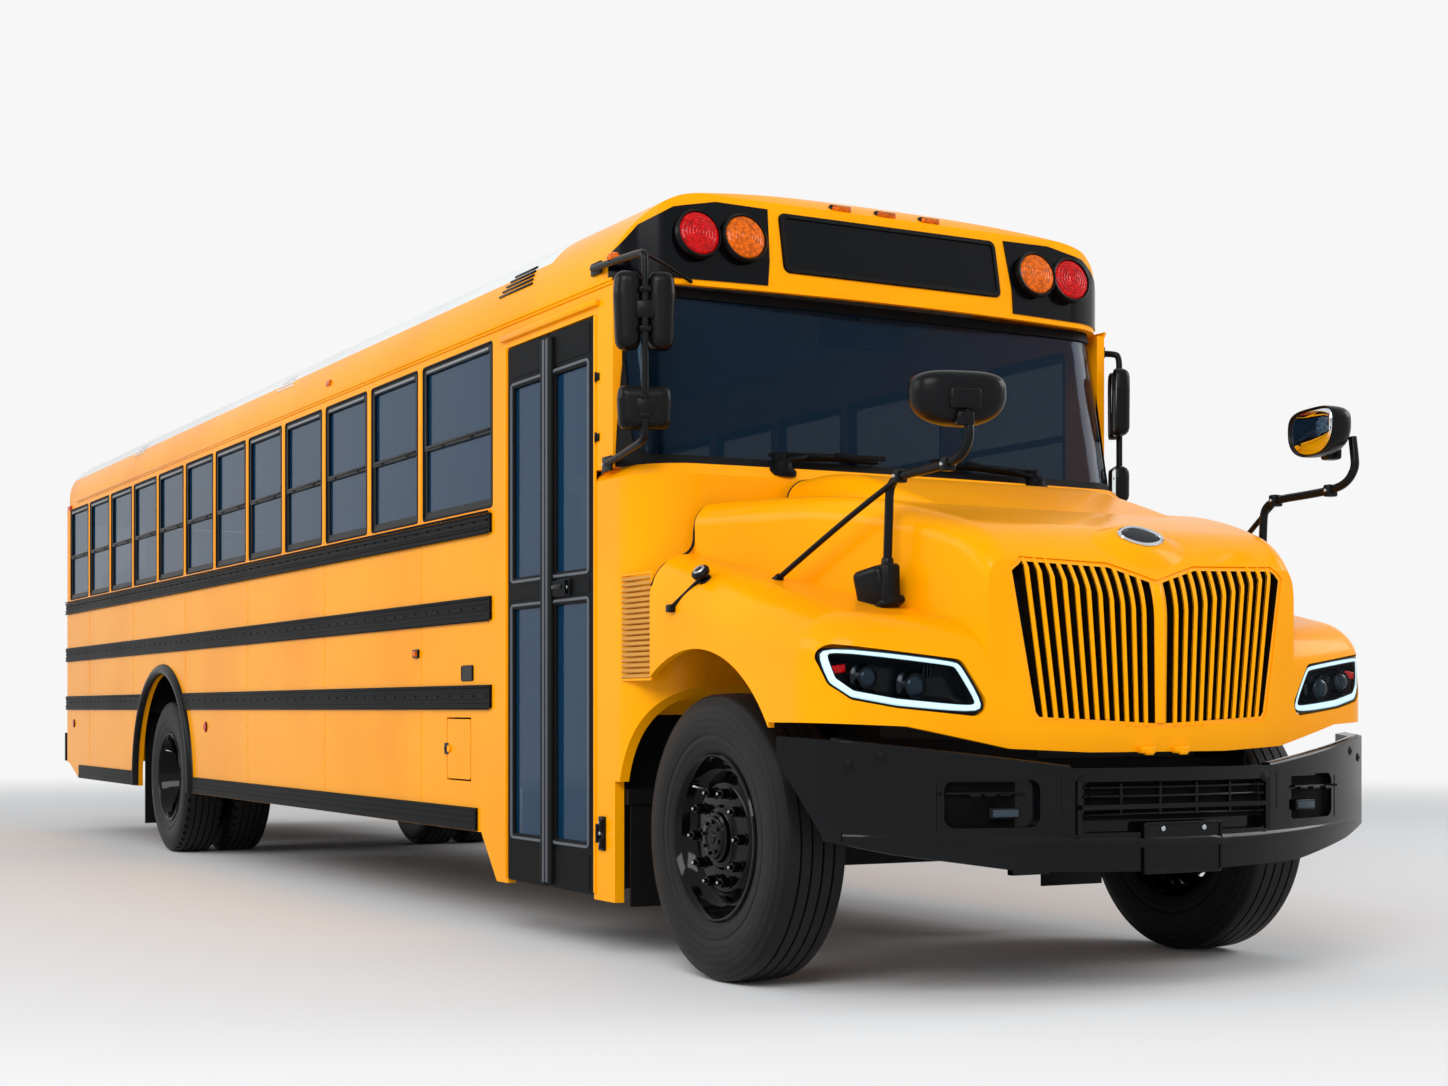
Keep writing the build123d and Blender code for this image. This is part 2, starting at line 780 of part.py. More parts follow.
# Lamp panels and lamps, front and rear, plus small markers
lamp_r = 89
front_lamps = [                 # x, depth of the face behind cap_y, height, red
    (916, 66, 2840, True),
    (718, 40, 2842, False),
]
panel_outer = cap_solid(-5, cap_end)
panel_inner = cap_solid(0, cap_end + 10)
with BuildPart() as light_panels:
    add(panel_outer)
    add(panel_inner, mode=Mode.SUBTRACT)
    with BuildSketch(at_y(cap_y - 60)):
        for side in (-1, 1):
            with BuildLine():
                Polyline(
                    (side * 605, 2672), (side * 583, 2988), (side * 820, 2990),
                    (side * 1010, 2950), (side * 1130, 2880), (side * 1200, 2780),
                    (side * 1240, 2672), close=True,
                )
            make_face()
        with Locations((0, 2855)):
            RectangleRounded(1070, 250, 30)
    extrude(amount=-(240 + 60), mode=Mode.INTERSECT)
    for side in (-1, 1):
        with Locations((side * 840, body_rear + 3, 2760)):
            Box(520, 6, 190)
save(light_panels, "light_panels")

with BuildPart() as lamps_red:
    for side in (-1, 1):
        with Locations((side * 916, cap_y + 58, 2840)):
            Cylinder(lamp_r, 60, rotation=(90 - 11, 0, 0))
        with Locations((side * 950, body_rear + 16, 2760)):
            Cylinder(80, 20, rotation=(90, 0, 0))
        with Locations((side * 1100, body_rear + 12, 1500)):
            Cylinder(89, 24, rotation=(90, 0, 0))
    add(panel_outer, mode=Mode.SUBTRACT)
save(lamps_red, "lamps_red")

with BuildPart() as lamps_amber:
    for side in (-1, 1):
        with Locations((side * 718, cap_y + 41, 2842)):
            Cylinder(lamp_r, 60, rotation=(90 - 11, 0, 0))
        with Locations((side * 740, body_rear + 16, 2760)):
            Cylinder(80, 20, rotation=(90, 0, 0))
        with Locations((side * 1100, body_rear + 12, 1260)):
            Cylinder(89, 24, rotation=(90, 0, 0))
    for x in (-220, 0, 220):
        with Locations((x, cap_y + 72, 3036)):
            Box(90, 60, 26)
    add(panel_outer, mode=Mode.SUBTRACT)
save(lamps_amber, "lamps_amber")

# Mud flaps behind the front and rear wheels
with BuildPart() as mud_flaps:
    for side in (-1, 1):
        with Locations((side * 1000, axle_f + 715, 440)):
            Box(330, 12, 460)
        with Locations((side * 880, axle_r + 760, 560)):
            Box(560, 12, 800)
    for side in (-1, 1):
        with Locations((side * 1000, axle_f + 715, 640)):
            Box(360, 30, 60)
save(mud_flaps, "mud_flaps")

# Hood: nose and fenders in one shell that tilts forward about the bumper
hood_back = axle_f + 405
hood_t = 25
hood_low = 832
hinge_y = axle_f - 1000
hinge_z = 800
nose_back_half = 1050
nose_front_half = 700
dome_back_half = 640            # the raised middle of the hood
dome_front_half = 610
shelf_top = [(-1040, 1290), (-800, 1624), (-80, 1758), (360, 1768)]
dome_top = [(-1040, 1238), (-800, 1590), (-80, 1835), (360, 1878)]
fender_half = 1238
nose_round = 95
fender_round = 170
fender_corner = 210


def front_face(half, inset, back):
    """Plan outline shared by nose and fenders: a bowed front between two sides."""
    edge = axle_f - 1040 + inset + 160 * (half / 1000) ** 2
    ThreePointArc((-half, edge), (0, axle_f - 1040 + inset), (half, edge))
    Line((half, edge), (half, back))
    Line((half, back), (-half, back))
    Line((-half, back), (-half, edge))


def nose_solid(top, half_b, half_f, inset, back, low):
    """One level of the nose: its top follows a side profile of tangent arcs."""
    half_b = half_b - inset
    half_f = half_f - inset
    top = [(axle_f + y + inset, z - inset) for y, z in top]
    with BuildPart() as nose:
        with BuildSketch(at_x(-1300)):
            with BuildLine():
                Line((top[0][0], low), top[0])
                first = TangentArc(top[0], top[1], tangent=(0, 1))
                second = TangentArc(top[1], top[2], tangent=first % 1)
                TangentArc(top[2], top[3], tangent=second % 1)
                Line(top[3], (back, top[3][1]))
                Line((back, top[3][1]), (back, low))
                Line((back, low), (top[0][0], low))
            make_face()
        extrude(amount=2600)
        with BuildSketch(Plane.XY.offset(low)):
            with BuildLine():
                Polyline(
                    (-half_b, back), (-half_f, axle_f - 900), (-half_f + 107, axle_f - 1300),
                    (half_f - 107, axle_f - 1300), (half_f, axle_f - 900), (half_b, back),
                    close=True,
                )
            make_face()
        extrude(amount=1300, mode=Mode.INTERSECT)
        with BuildSketch(Plane.XY.offset(low)):
            with BuildLine():
                front_face(1300, inset, back)
            make_face()
        extrude(amount=1300, mode=Mode.INTERSECT)
        tops = [
            e for e in nose.edges()
            if e.center().Z > 1350 and abs((e @ 0).Y - (e @ 1).Y) > 60
            and abs(e.center().X) > 500
        ]
        fillet(tops, nose_round - inset)
    return nose.part


def fender_solid(inset, back, low):
    half = fender_half - inset
    with BuildPart() as fender:
        with BuildSketch(Plane.XY.offset(low)) as plan:
            with BuildLine():
                front_face(half, inset, back)
            make_face()
            fillet(plan.vertices().sort_by(Axis.Y)[0:2], fender_corner - inset)
        extrude(amount=900)
        with BuildSketch(at_x(-1300)):
            with BuildLine():
                Polyline(
                    (axle_f - 1100, low), (axle_f - 1100, 1222 - inset), (back, 1572 - inset),
                    (back, low), close=True,
                )
            make_face()
        extrude(amount=2600, mode=Mode.INTERSECT)
        slope = fender.faces().filter_by(lambda f: 0.9 < f.normal_at().Z < 0.999)[0]
        tops = [e for e in slope.edges() if abs(e.center().Y - back) > 5]
        fillet(tops, fender_round - inset)
    return fender.part


def front_solid(inset, back, low):
    with BuildPart() as both:
        add(nose_solid(shelf_top, nose_back_half, nose_front_half, inset, back, low))
        add(fender_solid(inset, back, low))
    return both.part


def hood_solid(inset, back, low):
    with BuildPart() as whole:
        add(front_solid(inset, back, low))
        add(nose_solid(dome_top, dome_back_half, dome_front_half, inset, back, low))
    return whole.part


grille_points = [(0, 1426), (85, 1452), (190, 1482), (560, 1492), (610, 1450), (520, 965),
                 (500, 940), (0, 916)]
lamp_points = [(1232, 1202), (770, 1146), (645, 950), (985, 985), (1130, 1012), (1190, 1062)]

lamp_round = 42


def lamp_faces(inset):
    """Both lamp outlines with rounded corners, drawn in the caller's sketch plane."""
    with BuildSketch() as faces:
        for side in (-1, 1):
            with BuildLine():
                Polyline(*[(side * x, z) for x, z in lamp_points], close=True)
            make_face()
        fillet(faces.vertices(), lamp_round)
        if inset > 0:
            offset(amount=-inset, kind=Kind.INTERSECTION, mode=Mode.REPLACE)
    return faces.sketch


def both_sides(points):
    return points + [(-x, z) for x, z in reversed(points) if x > 0]


lamp_cut = lamp_faces(0)
lamp_fill = lamp_faces(4)
with BuildPart() as hood_shell:
    add(hood_solid(0, hood_back, 780))
    add(hood_solid(hood_t, hood_back + 60, 740), mode=Mode.SUBTRACT)
    with BuildSketch(at_x(-1300)):
        with Locations((axle_f + 60, tyre_r + 20)):
            Circle(arch_f_r)
    extrude(amount=2600, mode=Mode.SUBTRACT)
    with BuildSketch(at_y(axle_f - 1300)):
        with BuildLine():
            Polyline((-1300, 940), (-950, 925), (-600, 850), (-300, 836), (300, 836),
                     (600, 850), (950, 925), (1300, 940), (1300, 600), (-1300, 600),
                     close=True)
        make_face()
        with BuildLine():
            Polyline(*both_sides(grille_points), close=True)
        make_face()
        add(lamp_cut)
    extrude(amount=-820, mode=Mode.SUBTRACT)
save(hood_shell, "hood_shell")

# Grille: upright bars that lean in towards the bottom, fused to their surround
bar_count = 11
bar_w = 17
with BuildPart() as grille:
    add(front_solid(4, hood_back, 780))
    add(front_solid(46, hood_back + 60, 740), mode=Mode.SUBTRACT)
    with BuildSketch(at_y(axle_f - 1300)):
        with BuildLine():
            Polyline((-30, 1450), (30, 1450), (24, 900), (-24, 900), close=True)
        make_face()
        for side in (-1, 1):
            for i in range(bar_count):
                top = 75 + i * 47
                foot = top * 0.845
                with BuildLine():
                    Polyline(
                        (side * (top - bar_w / 2), 1500), (side * (top + bar_w / 2), 1500),
                        (side * (foot + bar_w / 2), 900), (side * (foot - bar_w / 2), 900),
                        close=True,
                    )
                make_face()
        with BuildLine():
            Polyline(*both_sides(grille_points), close=True)
        outline = make_face(mode=Mode.PRIVATE)
        add(outline, mode=Mode.INTERSECT)
        hole = offset(outline, amount=-16, kind=Kind.INTERSECTION, mode=Mode.PRIVATE)
        add(outline - hole)
    extrude(amount=-600, mode=Mode.INTERSECT)
save(grille, "grille")

with BuildPart() as grille_screen:
    add(front_solid(47, hood_back + 60, 780))
    add(front_solid(53, hood_back + 70, 740), mode=Mode.SUBTRACT)
    with BuildSketch(at_y(axle_f - 1300)):
        with BuildLine():
            Polyline(*both_sides(grille_points), close=True)
        make_face()
    extrude(amount=-600, mode=Mode.INTERSECT)
save(grille_screen, "grille_screen")

with BuildPart() as headlamps:
    add(front_solid(5, hood_back, 780))
    add(front_solid(60, hood_back + 60, 740), mode=Mode.SUBTRACT)
    with BuildSketch(at_y(axle_f - 1300)):
        add(lamp_fill)
    extrude(amount=-800, mode=Mode.INTERSECT)
save(headlamps, "headlamps")

# Entry door: two leaves that swing out from their jambs, with a rubber edge between
door_mid = (door_front + door_rear) / 2
leaf_frame = 46
seal_half = 28
leaf_low = door_low + gap
glass_bands = [(leaf_low + 190, 1425), (1535, 2380)]


def leaf_plate(first, last):
    with BuildPart() as plate:
        with BuildSketch(at_x(-body_half)):
            with Locations(((first + last) / 2, (leaf_low + door_high) / 2)):
                RectangleRounded(last - first, door_high - leaf_low, 12)
            for low, high in glass_bands:
                with Locations(((first + last) / 2, (low + high) / 2)):
                    RectangleRounded(
                        last - first - 2 * leaf_frame, high - low, 20, mode=Mode.SUBTRACT
                    )
        extrude(amount=36)
    return plate.part


def leaf_glass(first, last):
    with BuildPart() as glass:
        with BuildSketch(at_x(-body_half + 14)):
            for low, high in glass_bands:
                with Locations(((first + last) / 2, (low + high) / 2)):
                    RectangleRounded(last - first - 2 * leaf_frame, high - low, 20)
        extrude(amount=pane_t)
    return glass.part


leaf_f = (door_front + gap, door_mid - 4)
leaf_r = (door_mid + 4, door_rear - gap)
with BuildPart() as entry_leaf_front:
    add(leaf_plate(*leaf_f))
    with Locations((-body_half - 12, door_mid - 150, 1480)):
        Box(24, 120, 60)
save(entry_leaf_front, "entry_leaf_front")
with BuildPart() as entry_glass_front:
    add(leaf_glass(*leaf_f))
save(entry_glass_front, "entry_glass_front")
with BuildPart() as entry_leaf_rear:
    add(leaf_plate(*leaf_r))
save(entry_leaf_rear, "entry_leaf_rear")
with BuildPart() as entry_glass_rear:
    add(leaf_glass(*leaf_r))
save(entry_glass_rear, "entry_glass_rear")

# Rear emergency door
with BuildPart() as rear_door:
    with BuildSketch(at_y(body_rear - 36)):
        with Locations((0, (exit_low + exit_high) / 2)):
            RectangleRounded(2 * (exit_half - gap), exit_high - exit_low - 2 * gap, 32)
        for low, high in ((exit_low + 110, exit_window_low - 110), (exit_window_low, 2430)):
            with Locations((0, (low + high) / 2)):
                RectangleRounded(2 * exit_half - 190, high - low, 30, mode=Mode.SUBTRACT)
    extrude(amount=-36)
    with Locations((exit_half - 110, body_rear + 14, 1720)):
        Box(150, 28, 30)
save(rear_door, "rear_door")
with BuildPart() as rear_door_glass:
    with BuildSketch(at_y(body_rear - 20)):
        for low, high in ((exit_low + 110, exit_window_low - 110), (exit_window_low, 2430)):
            with Locations((0, (low + high) / 2)):
                RectangleRounded(2 * exit_half - 190, high - low, 30)
    extrude(amount=-pane_t)
save(rear_door_glass, "rear_door_glass")

# Roof hatches: lids that follow the crown
for index, mid in enumerate(hatch_mids):
    with BuildPart() as roof_hatch:
        with BuildSketch(at_y(mid - hatch_side / 2 + gap)):
            with BuildLine():
                crowned(body_half, eave_z, roof_z, roof_corner_r, roof_crown_r)
            make_face()
            with BuildLine():
                crowned(
                    body_half - roof_t, eave_z, roof_z - roof_t,
                    roof_corner_r - roof_t, roof_crown_r - roof_t,
                )
            make_face(mode=Mode.SUBTRACT)
            with Locations((0, roof_z)):
                Rectangle(hatch_side - 2 * gap, 200, mode=Mode.INTERSECT)
        extrude(amount=-(hatch_side - 2 * gap))
    save(roof_hatch, ("roof_hatch_front", "roof_hatch_rear")[index])

# Stop arm: an octagon that lies along the driver's side behind its hinge
stop_w = 450
stop_x = body_half + 46
stop_z = 1620
stop_hinge_y = axle_f + 1100
with BuildPart() as stop_arm:
    with BuildSketch(at_x(stop_x - 8)):
        with Locations((stop_hinge_y + 60 + stop_w / 2, stop_z)):
            RegularPolygon(stop_w / 2, 8, major_radius=False, rotation=22.5)
    extrude(amount=16)
    with Locations((stop_x, stop_hinge_y + 40, stop_z)):
        Box(16, 60, 200)
save(stop_arm, "stop_arm")

# Battery door low on the kerb side
with BuildPart() as battery_door:
    with BuildSketch(at_x(-body_half)):
        with Locations((hatch_y + hatch_w / 2, hatch_low + hatch_h / 2)):
            RectangleRounded(hatch_w - 2 * gap, hatch_h - 2 * gap, 15)
    extrude(amount=20)
    with Locations((-body_half - 5, hatch_y + hatch_w - 40, hatch_low + hatch_h / 2)):
        Cylinder(16, 10, rotation=(0, 90, 0))
save(battery_door, "battery_door")

# Wheels: tyres turned from one section, rims with studs and a hub
tyre_section = [                # across, radius
    (-140, 420), (-128, 300), (-112, rim_r), (112, rim_r), (128, 300), (140, 420),
    (132, 490), (112, tyre_r - 6), (60, tyre_r), (-60, tyre_r), (-112, tyre_r - 6), (-132, 490),
]


def tyre_at(x, y):
    with BuildPart() as tyre:
        with BuildSketch(Plane.XZ.offset(-y)):
            with BuildLine():
                Polyline(*[(x + a, tyre_r + r) for a, r in tyre_section], close=True)
            make_face()
            for groove in (-66, -22, 22, 66):
                with Locations((x + groove, 2 * tyre_r)):
                    Rectangle(9, 24, mode=Mode.SUBTRACT)
        revolve(axis=Axis((x, y, tyre_r), (1, 0, 0)))
    return tyre.part


def turned(side, x, y, section):
    """Turn a section, given as outward distance from x and radius, about the wheel's axis."""
    with BuildPart() as solid:
        with BuildSketch(Plane.XZ.offset(-y)):
            with BuildLine():
                Polyline(*[(x + side * a, tyre_r + r) for a, r in section], close=True)
            make_face()
        revolve(axis=Axis((x, y, tyre_r), (1, 0, 0)))
    return solid.part


bead_r = rim_r - 2
well_r = rim_r - 24
front_rim = [
    (-130, bead_r), (130, bead_r), (130, well_r), (44, well_r), (60, 226), (84, 200),
    (84, hub_r + 20), (104, hub_r), (128, hub_r - 4), (134, hub_r - 14), (134, 0),
    (60, 0), (60, 44), (-50, 44), (-50, 80), (50, 80), (64, 110), (64, 190),
    (44, 214), (24, well_r), (-130, well_r),
]
stud_ring = 167

front_wheels = [("kerb", -1), ("driver", 1)]
for name, side in front_wheels:
    x = side * track_x
    with BuildPart() as tyre_front:
        add(tyre_at(x, axle_f))
    save(tyre_front, f"tyre_front_{name}")
    with BuildPart() as rim_front:
        add(turned(side, x, axle_f, front_rim))
        with Locations(Location((x + side * 92, axle_f, tyre_r), (0, side * 90, 0))):
            with PolarLocations(stud_ring, 10):
                Cylinder(14, 36)
            with PolarLocations(200, 5, start_angle=18):
                Cylinder(24, 120, mode=Mode.SUBTRACT)
    save(rim_front, f"rim_front_{name}")

# Rear wheels: a pair of tyres a side on one double rim
dual_out = 1050
dual_in = dual_out - tyre_w - dual_gap
rear_rim = [                    # outward from the outer tyre's middle
    (-130, bead_r), (130, bead_r), (130, well_r), (-118, well_r), (-132, 226),
    (-140, 200), (-140, 124), (-118, 110), (-100, 98), (14, 92), (20, hub_r), (20, 0),
    (-146, 0), (-146, 68), (-350, 68), (-350, 110), (-178, 110), (-178, 226),
    (-195, well_r), (-455, well_r), (-455, bead_r), (-195, bead_r), (-180, well_r),
    (-146, well_r),
]
for name, side in front_wheels:
    x = side * dual_out
    with BuildPart() as tyre_rear:
        add(tyre_at(x, axle_r))
        add(tyre_at(side * dual_in, axle_r))
    save(tyre_rear, f"tyres_rear_{name}")
    with BuildPart() as rim_rear:
        add(turned(side, x, axle_r, rear_rim))
        with Locations(Location((x - side * 136, axle_r, tyre_r), (0, side * 90, 0))):
            with PolarLocations(stud_ring, 10):
                Cylinder(14, 40)
    save(rim_rear, f"rim_rear_{name}")

# Steering knuckles: a fork over the axle's eye, and a spindle
for name, side in front_wheels:
    with BuildPart() as knuckle:
        for z in (tyre_r - 110, tyre_r + 110):
            with Locations((side * (pin_x + 28), axle_f, z)):
                Box(136, 90, 50)
        with Locations((side * (pin_x + 82), axle_f, tyre_r)):
            Box(28, 100, 270)
        with Locations((side * (pin_x + 140), axle_f, tyre_r)):
            Cylinder(36, 90, rotation=(0, 90, 0))
        with Locations((side * (pin_x + 10), axle_f + 110, tyre_r - 110)):
            Box(40, 150, 30)
    save(knuckle, f"knuckle_{name}")

# Dashboard and steering column
column_x = 600
wheel_y = axle_f + 1130
wheel_z = 1850
column_tilt = 28
with BuildPart() as dashboard:
    with BuildSketch(at_x(-520)):
        with BuildLine():
            Polyline(
                (axle_f + 700, 1400), (axle_f + 860, 1400), (axle_f + 960, 1700),
                (axle_f + 900, 1868), (axle_f + 700, 1868), close=True,
            )
        make_face()
    extrude(amount=1690)
    with Locations(Location((column_x, wheel_y - 127, wheel_z - 238), (-column_tilt, 0, 0))):
        Cylinder(30, 480)
save(dashboard, "dashboard")

with BuildPart() as steering_wheel:
    with Locations(Location((column_x, wheel_y, wheel_z), (-column_tilt, 0, 0))):
        Torus(215, 14)
        Cylinder(45, 30)
        Box(410, 34, 14)
        with Locations((0, -100, 0)):
            Box(34, 200, 14)
save(steering_wheel, "steering_wheel")

# Seats: the driver's and eleven rows of benches
seat_profile = [                # back from the row's place, up from the floor
    (0, 400), (20, 380), (400, 350), (420, 380), (480, 360), (510, 380), (570, 1090),
    (540, 1120), (490, 1120), (465, 1090), (410, 480), (30, 500), (0, 470),
]
row_first = axle_f + 2330
row_count = 11
with BuildPart() as passenger_seats:
    for side in (-1, 1):
        with BuildSketch(at_x(side * 760)):
            for row in range(row_count):
                with BuildLine():
                    Polyline(
                        *[(row_first + row * window_pitch + y, floor_top + z)
                          for y, z in seat_profile], close=True,
                    )
                make_face()
        extrude(amount=395, both=True)
    for side in (-1, 1):
        rows = [
            (side * 480, row_first + row * window_pitch + 250, floor_top + 180)
            for row in range(row_count)
        ]
        with Locations(rows):
            Box(50, 260, 360)
        walls = [
            (side * 1120, row_first + row * window_pitch + 250, floor_top + 310)
            for row in range(row_count)
        ]
        with Locations(walls):
            Box(60, 260, 120)
save(passenger_seats, "passenger_seats")

with BuildPart() as driver_seat:
    with Locations((column_x, axle_f + 1650, floor_top + 200)):
        Box(360, 360, 400)
    with Locations((column_x, axle_f + 1650, floor_top + 460)):
        Box(520, 500, 130)
    with Locations((column_x, axle_f + 1900, floor_top + 780)):
        Box(500, 110, 760)
    fillet(driver_seat.edges().filter_by(Axis.Y).group_by(Axis.Z)[-1], 90)
save(driver_seat, "driver_seat")


# Rear-view mirrors on tube frames beside the windscreen, two heads above and two below
def tube(points, radius):
    """A round tube along a polyline, its corners filled by spheres."""
    for a, b in zip(points, points[1:]):
        start, end = Vector(*a), Vector(*b)
        with Locations(Plane(origin=(start + end) * 0.5, z_dir=end - start).location):
            Cylinder(radius, (end - start).length)
    for p in points[1:-1]:
        with Locations(p):
            Sphere(radius)


def mirror_head(width, depth, height, round_r):
    """A rounded housing, upright, with its glass on the +Y side."""
    with BuildPart() as head:
        Box(width, depth, height)
        fillet(head.edges().filter_by(Axis.Z), round_r)
        fillet(head.faces().sort_by(Axis.Z)[0].edges(), 10)
        fillet(head.faces().sort_by(Axis.Z)[-1].edges(), 10)
    return head.part


def egg_head():
    """A domed oval housing, its glass on the +Y side."""
    with BuildPart() as head:
        with BuildSketch(Plane.XZ):
            RectangleRounded(326, 196, 88)
        extrude(amount=60, both=True)
        fillet(head.faces().sort_by(Axis.Y)[0].edges(), 50)
        fillet(head.faces().sort_by(Axis.Y)[-1].edges(), 34)
    return head.part


tube_r = 14
mirror_reach = 1350
tall_head = mirror_head(112, 66, 300, 30)
low_head = mirror_head(206, 60, 165, 26)
kerb_y = axle_f + 420
driver_y = axle_f + 728
mirror_frames = [               # tube route, head turn about its tube, drop of the heads
    ([(-1226, axle_f + 800, 1950), (-1250, kerb_y + 60, 1985), (-1250, kerb_y, 2060),
      (-1250, kerb_y, 2705), (-1226, axle_f + 950, 2735)], -22, 0),
    ([(1226, axle_f + 800, 1935), (1280, driver_y + 20, 1900), (1280, driver_y, 1960),
      (1280, driver_y, 2530), (1265, driver_y + 12, 2575), (1226, axle_f + 810, 2580)],
     60, 140),
]
cap_cut = cap_solid(-2, cap_end)
with BuildPart() as side_mirrors:
    for route, turn, drop in mirror_frames:
        tube(route, tube_r)
        x_out, y_out = route[2][:2]
        for dx, z, head in ((-62, 2486, tall_head), (62, 2486, tall_head), (0, 2120, low_head)):
            place = Location((x_out, y_out, z - drop), (0, 0, turn))
            add(head.moved(place * Location((dx, 24 if turn < 0 else 0, 0))))
    tube([(-1250, kerb_y, 2695), (-925, axle_f + 650, 2660)], 8)
    add(cap_cut, mode=Mode.SUBTRACT)
    with Locations((0, axle_f + 970, 2300)):
        Box(2 * body_half, 460, 1400, mode=Mode.SUBTRACT)
    with Locations((0, axle_f + 700, 2300)):
        Box(2 * mirror_reach, 1200, 1400, mode=Mode.INTERSECT)
save(side_mirrors, "side_mirrors")

# Cross-view mirrors that stand on the fenders and tilt with the hood
with BuildPart() as cross_mirrors:
    for side, turn, head_x, head_y in ((-1, -15, -850, 1045), (1, 75, 800, 985)):
        x_foot = side * 850
        with Locations((x_foot, axle_f - 620, 1375)):
            Box(80, 110, 130)
        tube([
            (x_foot, axle_f - 620, 1380), (x_foot, axle_f - 640, 1760),
            (x_foot, axle_f - 990, 1785), (x_foot, axle_f - 1100, 1840),
            (x_foot, axle_f - 1090, 1960),
        ], 16)
        add(egg_head().moved(Location((head_x, axle_f - head_y, 1990), (0, 0, turn))))
        tube([
            (x_foot, axle_f - 700, 1766), (side * 1000, axle_f - 120, 1440),
        ], 11)
    add(hood_solid(0, hood_back, 780), mode=Mode.SUBTRACT)
save(cross_mirrors, "cross_mirrors")

# Wipers, parked along the foot of the windscreen
with BuildPart() as wipers:
    for x, reach in ((-620, 520), (620, -520)):
        with Locations((x, axle_f + 500, cowl_top + 30)):
            Cylinder(26, 60)
        tube([(x, axle_f + 500, 1965), (x + reach / 2, axle_f + 535, 1985)], 9)
        tube([
            (x - reach * 0.05, axle_f + 530, 1985), (x + reach * 0.95, axle_f + 550, 1985),
        ], 8)
save(wipers, "wipers")
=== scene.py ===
import math

import bmesh
import bpy
from mathutils import Euler, Matrix, Vector
from mathutils.bvhtree import BVHTree


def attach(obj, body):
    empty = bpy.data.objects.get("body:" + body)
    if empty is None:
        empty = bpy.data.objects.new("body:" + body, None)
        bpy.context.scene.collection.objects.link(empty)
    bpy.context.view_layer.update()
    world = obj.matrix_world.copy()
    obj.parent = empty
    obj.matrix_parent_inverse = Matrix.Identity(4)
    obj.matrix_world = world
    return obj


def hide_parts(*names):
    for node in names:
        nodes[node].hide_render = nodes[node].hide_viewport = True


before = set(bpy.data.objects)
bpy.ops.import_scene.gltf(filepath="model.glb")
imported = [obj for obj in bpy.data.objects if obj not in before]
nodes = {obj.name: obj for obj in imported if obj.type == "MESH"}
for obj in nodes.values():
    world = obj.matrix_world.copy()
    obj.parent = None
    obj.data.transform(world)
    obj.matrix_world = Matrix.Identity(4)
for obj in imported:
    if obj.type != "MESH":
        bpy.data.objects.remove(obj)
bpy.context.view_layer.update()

AXLE_F = -5.02
AXLE_R = AXLE_F + 7.88
BODY_HALF = 1.22
BODY_REAR = AXLE_F + 11.09
TYRE_R = 0.52
TRACK = 1.062
DUAL_OUT = 1.05
STOP_X = BODY_HALF + 0.046
HATCHES = (AXLE_F + 3.4, AXLE_F + 8.7)
EXIT_HALF = 0.43
REAR_PANES = ((1.12, 1.68), (1.79, 2.43))
REAR_PANE_HALF = 0.335
REAR_WINDOW = (0.565, 1.035, 1.79, 2.51)
SILL_Z = 1.875
WINDOW_TALL = 0.740
WINDOW_TOP = 2.615
WINDOW_PITCH = 0.735
ROWS = 11
RAILS_Z = (1.030, 1.423, 1.810)
ARCH_Z = 0.490
DOOR_MID = AXLE_F + 1.37
PHOTO_WIDE = 1448
FOCAL_PIXELS = 2082
CREST_STEPS = 48
PUFF_PRESSURE = 4.0
PUFF_FRAMES = 20
REAR_LAMP_X = 1.100
BENCH_X = 0.760
LEG_X = 0.480
TREAD_FROM = 0.5125
RIB_PITCH = 0.0055
SHEEN_BAND_PITCH = 0.027
SIPE_RATE = 260.0
SIDES = (("kerb", -1), ("driver", 1))


# Shaders
def linear(code):
    """An sRGB hex colour as linear values."""
    out = []
    for i in (0, 2, 4):
        c = int(code[i:i + 2], 16) / 255
        out.append(c / 12.92 if c <= 0.04045 else ((c + 0.055) / 1.055) ** 2.4)
    return (*out, 1.0)


def add(tree, kind, links=None, **settings):
    """Add one node; settings name attributes or sockets, links name where sockets come from."""
    made = tree.nodes.new("ShaderNode" + kind)
    for key, value in settings.items():
        if hasattr(made, key):
            setattr(made, key, value)
        else:
            made.inputs[key.replace("_", " ")].default_value = value
    for key, source in (links or {}).items():
        tree.links.new(source, made.inputs[key])
    return made


def spread(tree, value, **limits):
    """A value mapped from one range to another."""
    return add(tree, "MapRange", {"Value": value}, **limits).outputs["Result"]


def noise(tree, place, scale, detail):
    """Cloudy noise laid on the object's own coordinates."""
    return add(tree, "TexNoise", {"Vector": place}, Scale=scale, Detail=detail).outputs["Fac"]


def relief(tree, height, strength, distance):
    """The surface direction of a fine relief."""
    made = add(tree, "Bump", {"Height": height}, Strength=strength, Distance=distance)
    return made.outputs["Normal"]


def maths(tree, kind, first, second=None, **settings):
    """The result of a Math node, from sockets or numbers."""
    made = add(tree, "Math", operation=kind, **settings)
    for socket, source in zip(made.inputs, (first, second)):
        if isinstance(source, float):
            socket.default_value = source
        elif source is not None:
            tree.links.new(source, socket)
    return made.outputs["Value"]


def blend(tree, share, first, second):
    """A colour between two, each a linear colour or a socket."""
    made = add(tree, "Mix", {"Factor": share}, data_type="RGBA")
    for key, source in (("A", first), ("B", second)):
        if isinstance(source, tuple):
            made.inputs[key].default_value = source
        else:
            tree.links.new(source, made.inputs[key])
    return [s for s in made.outputs if s.type == "RGBA"][0]


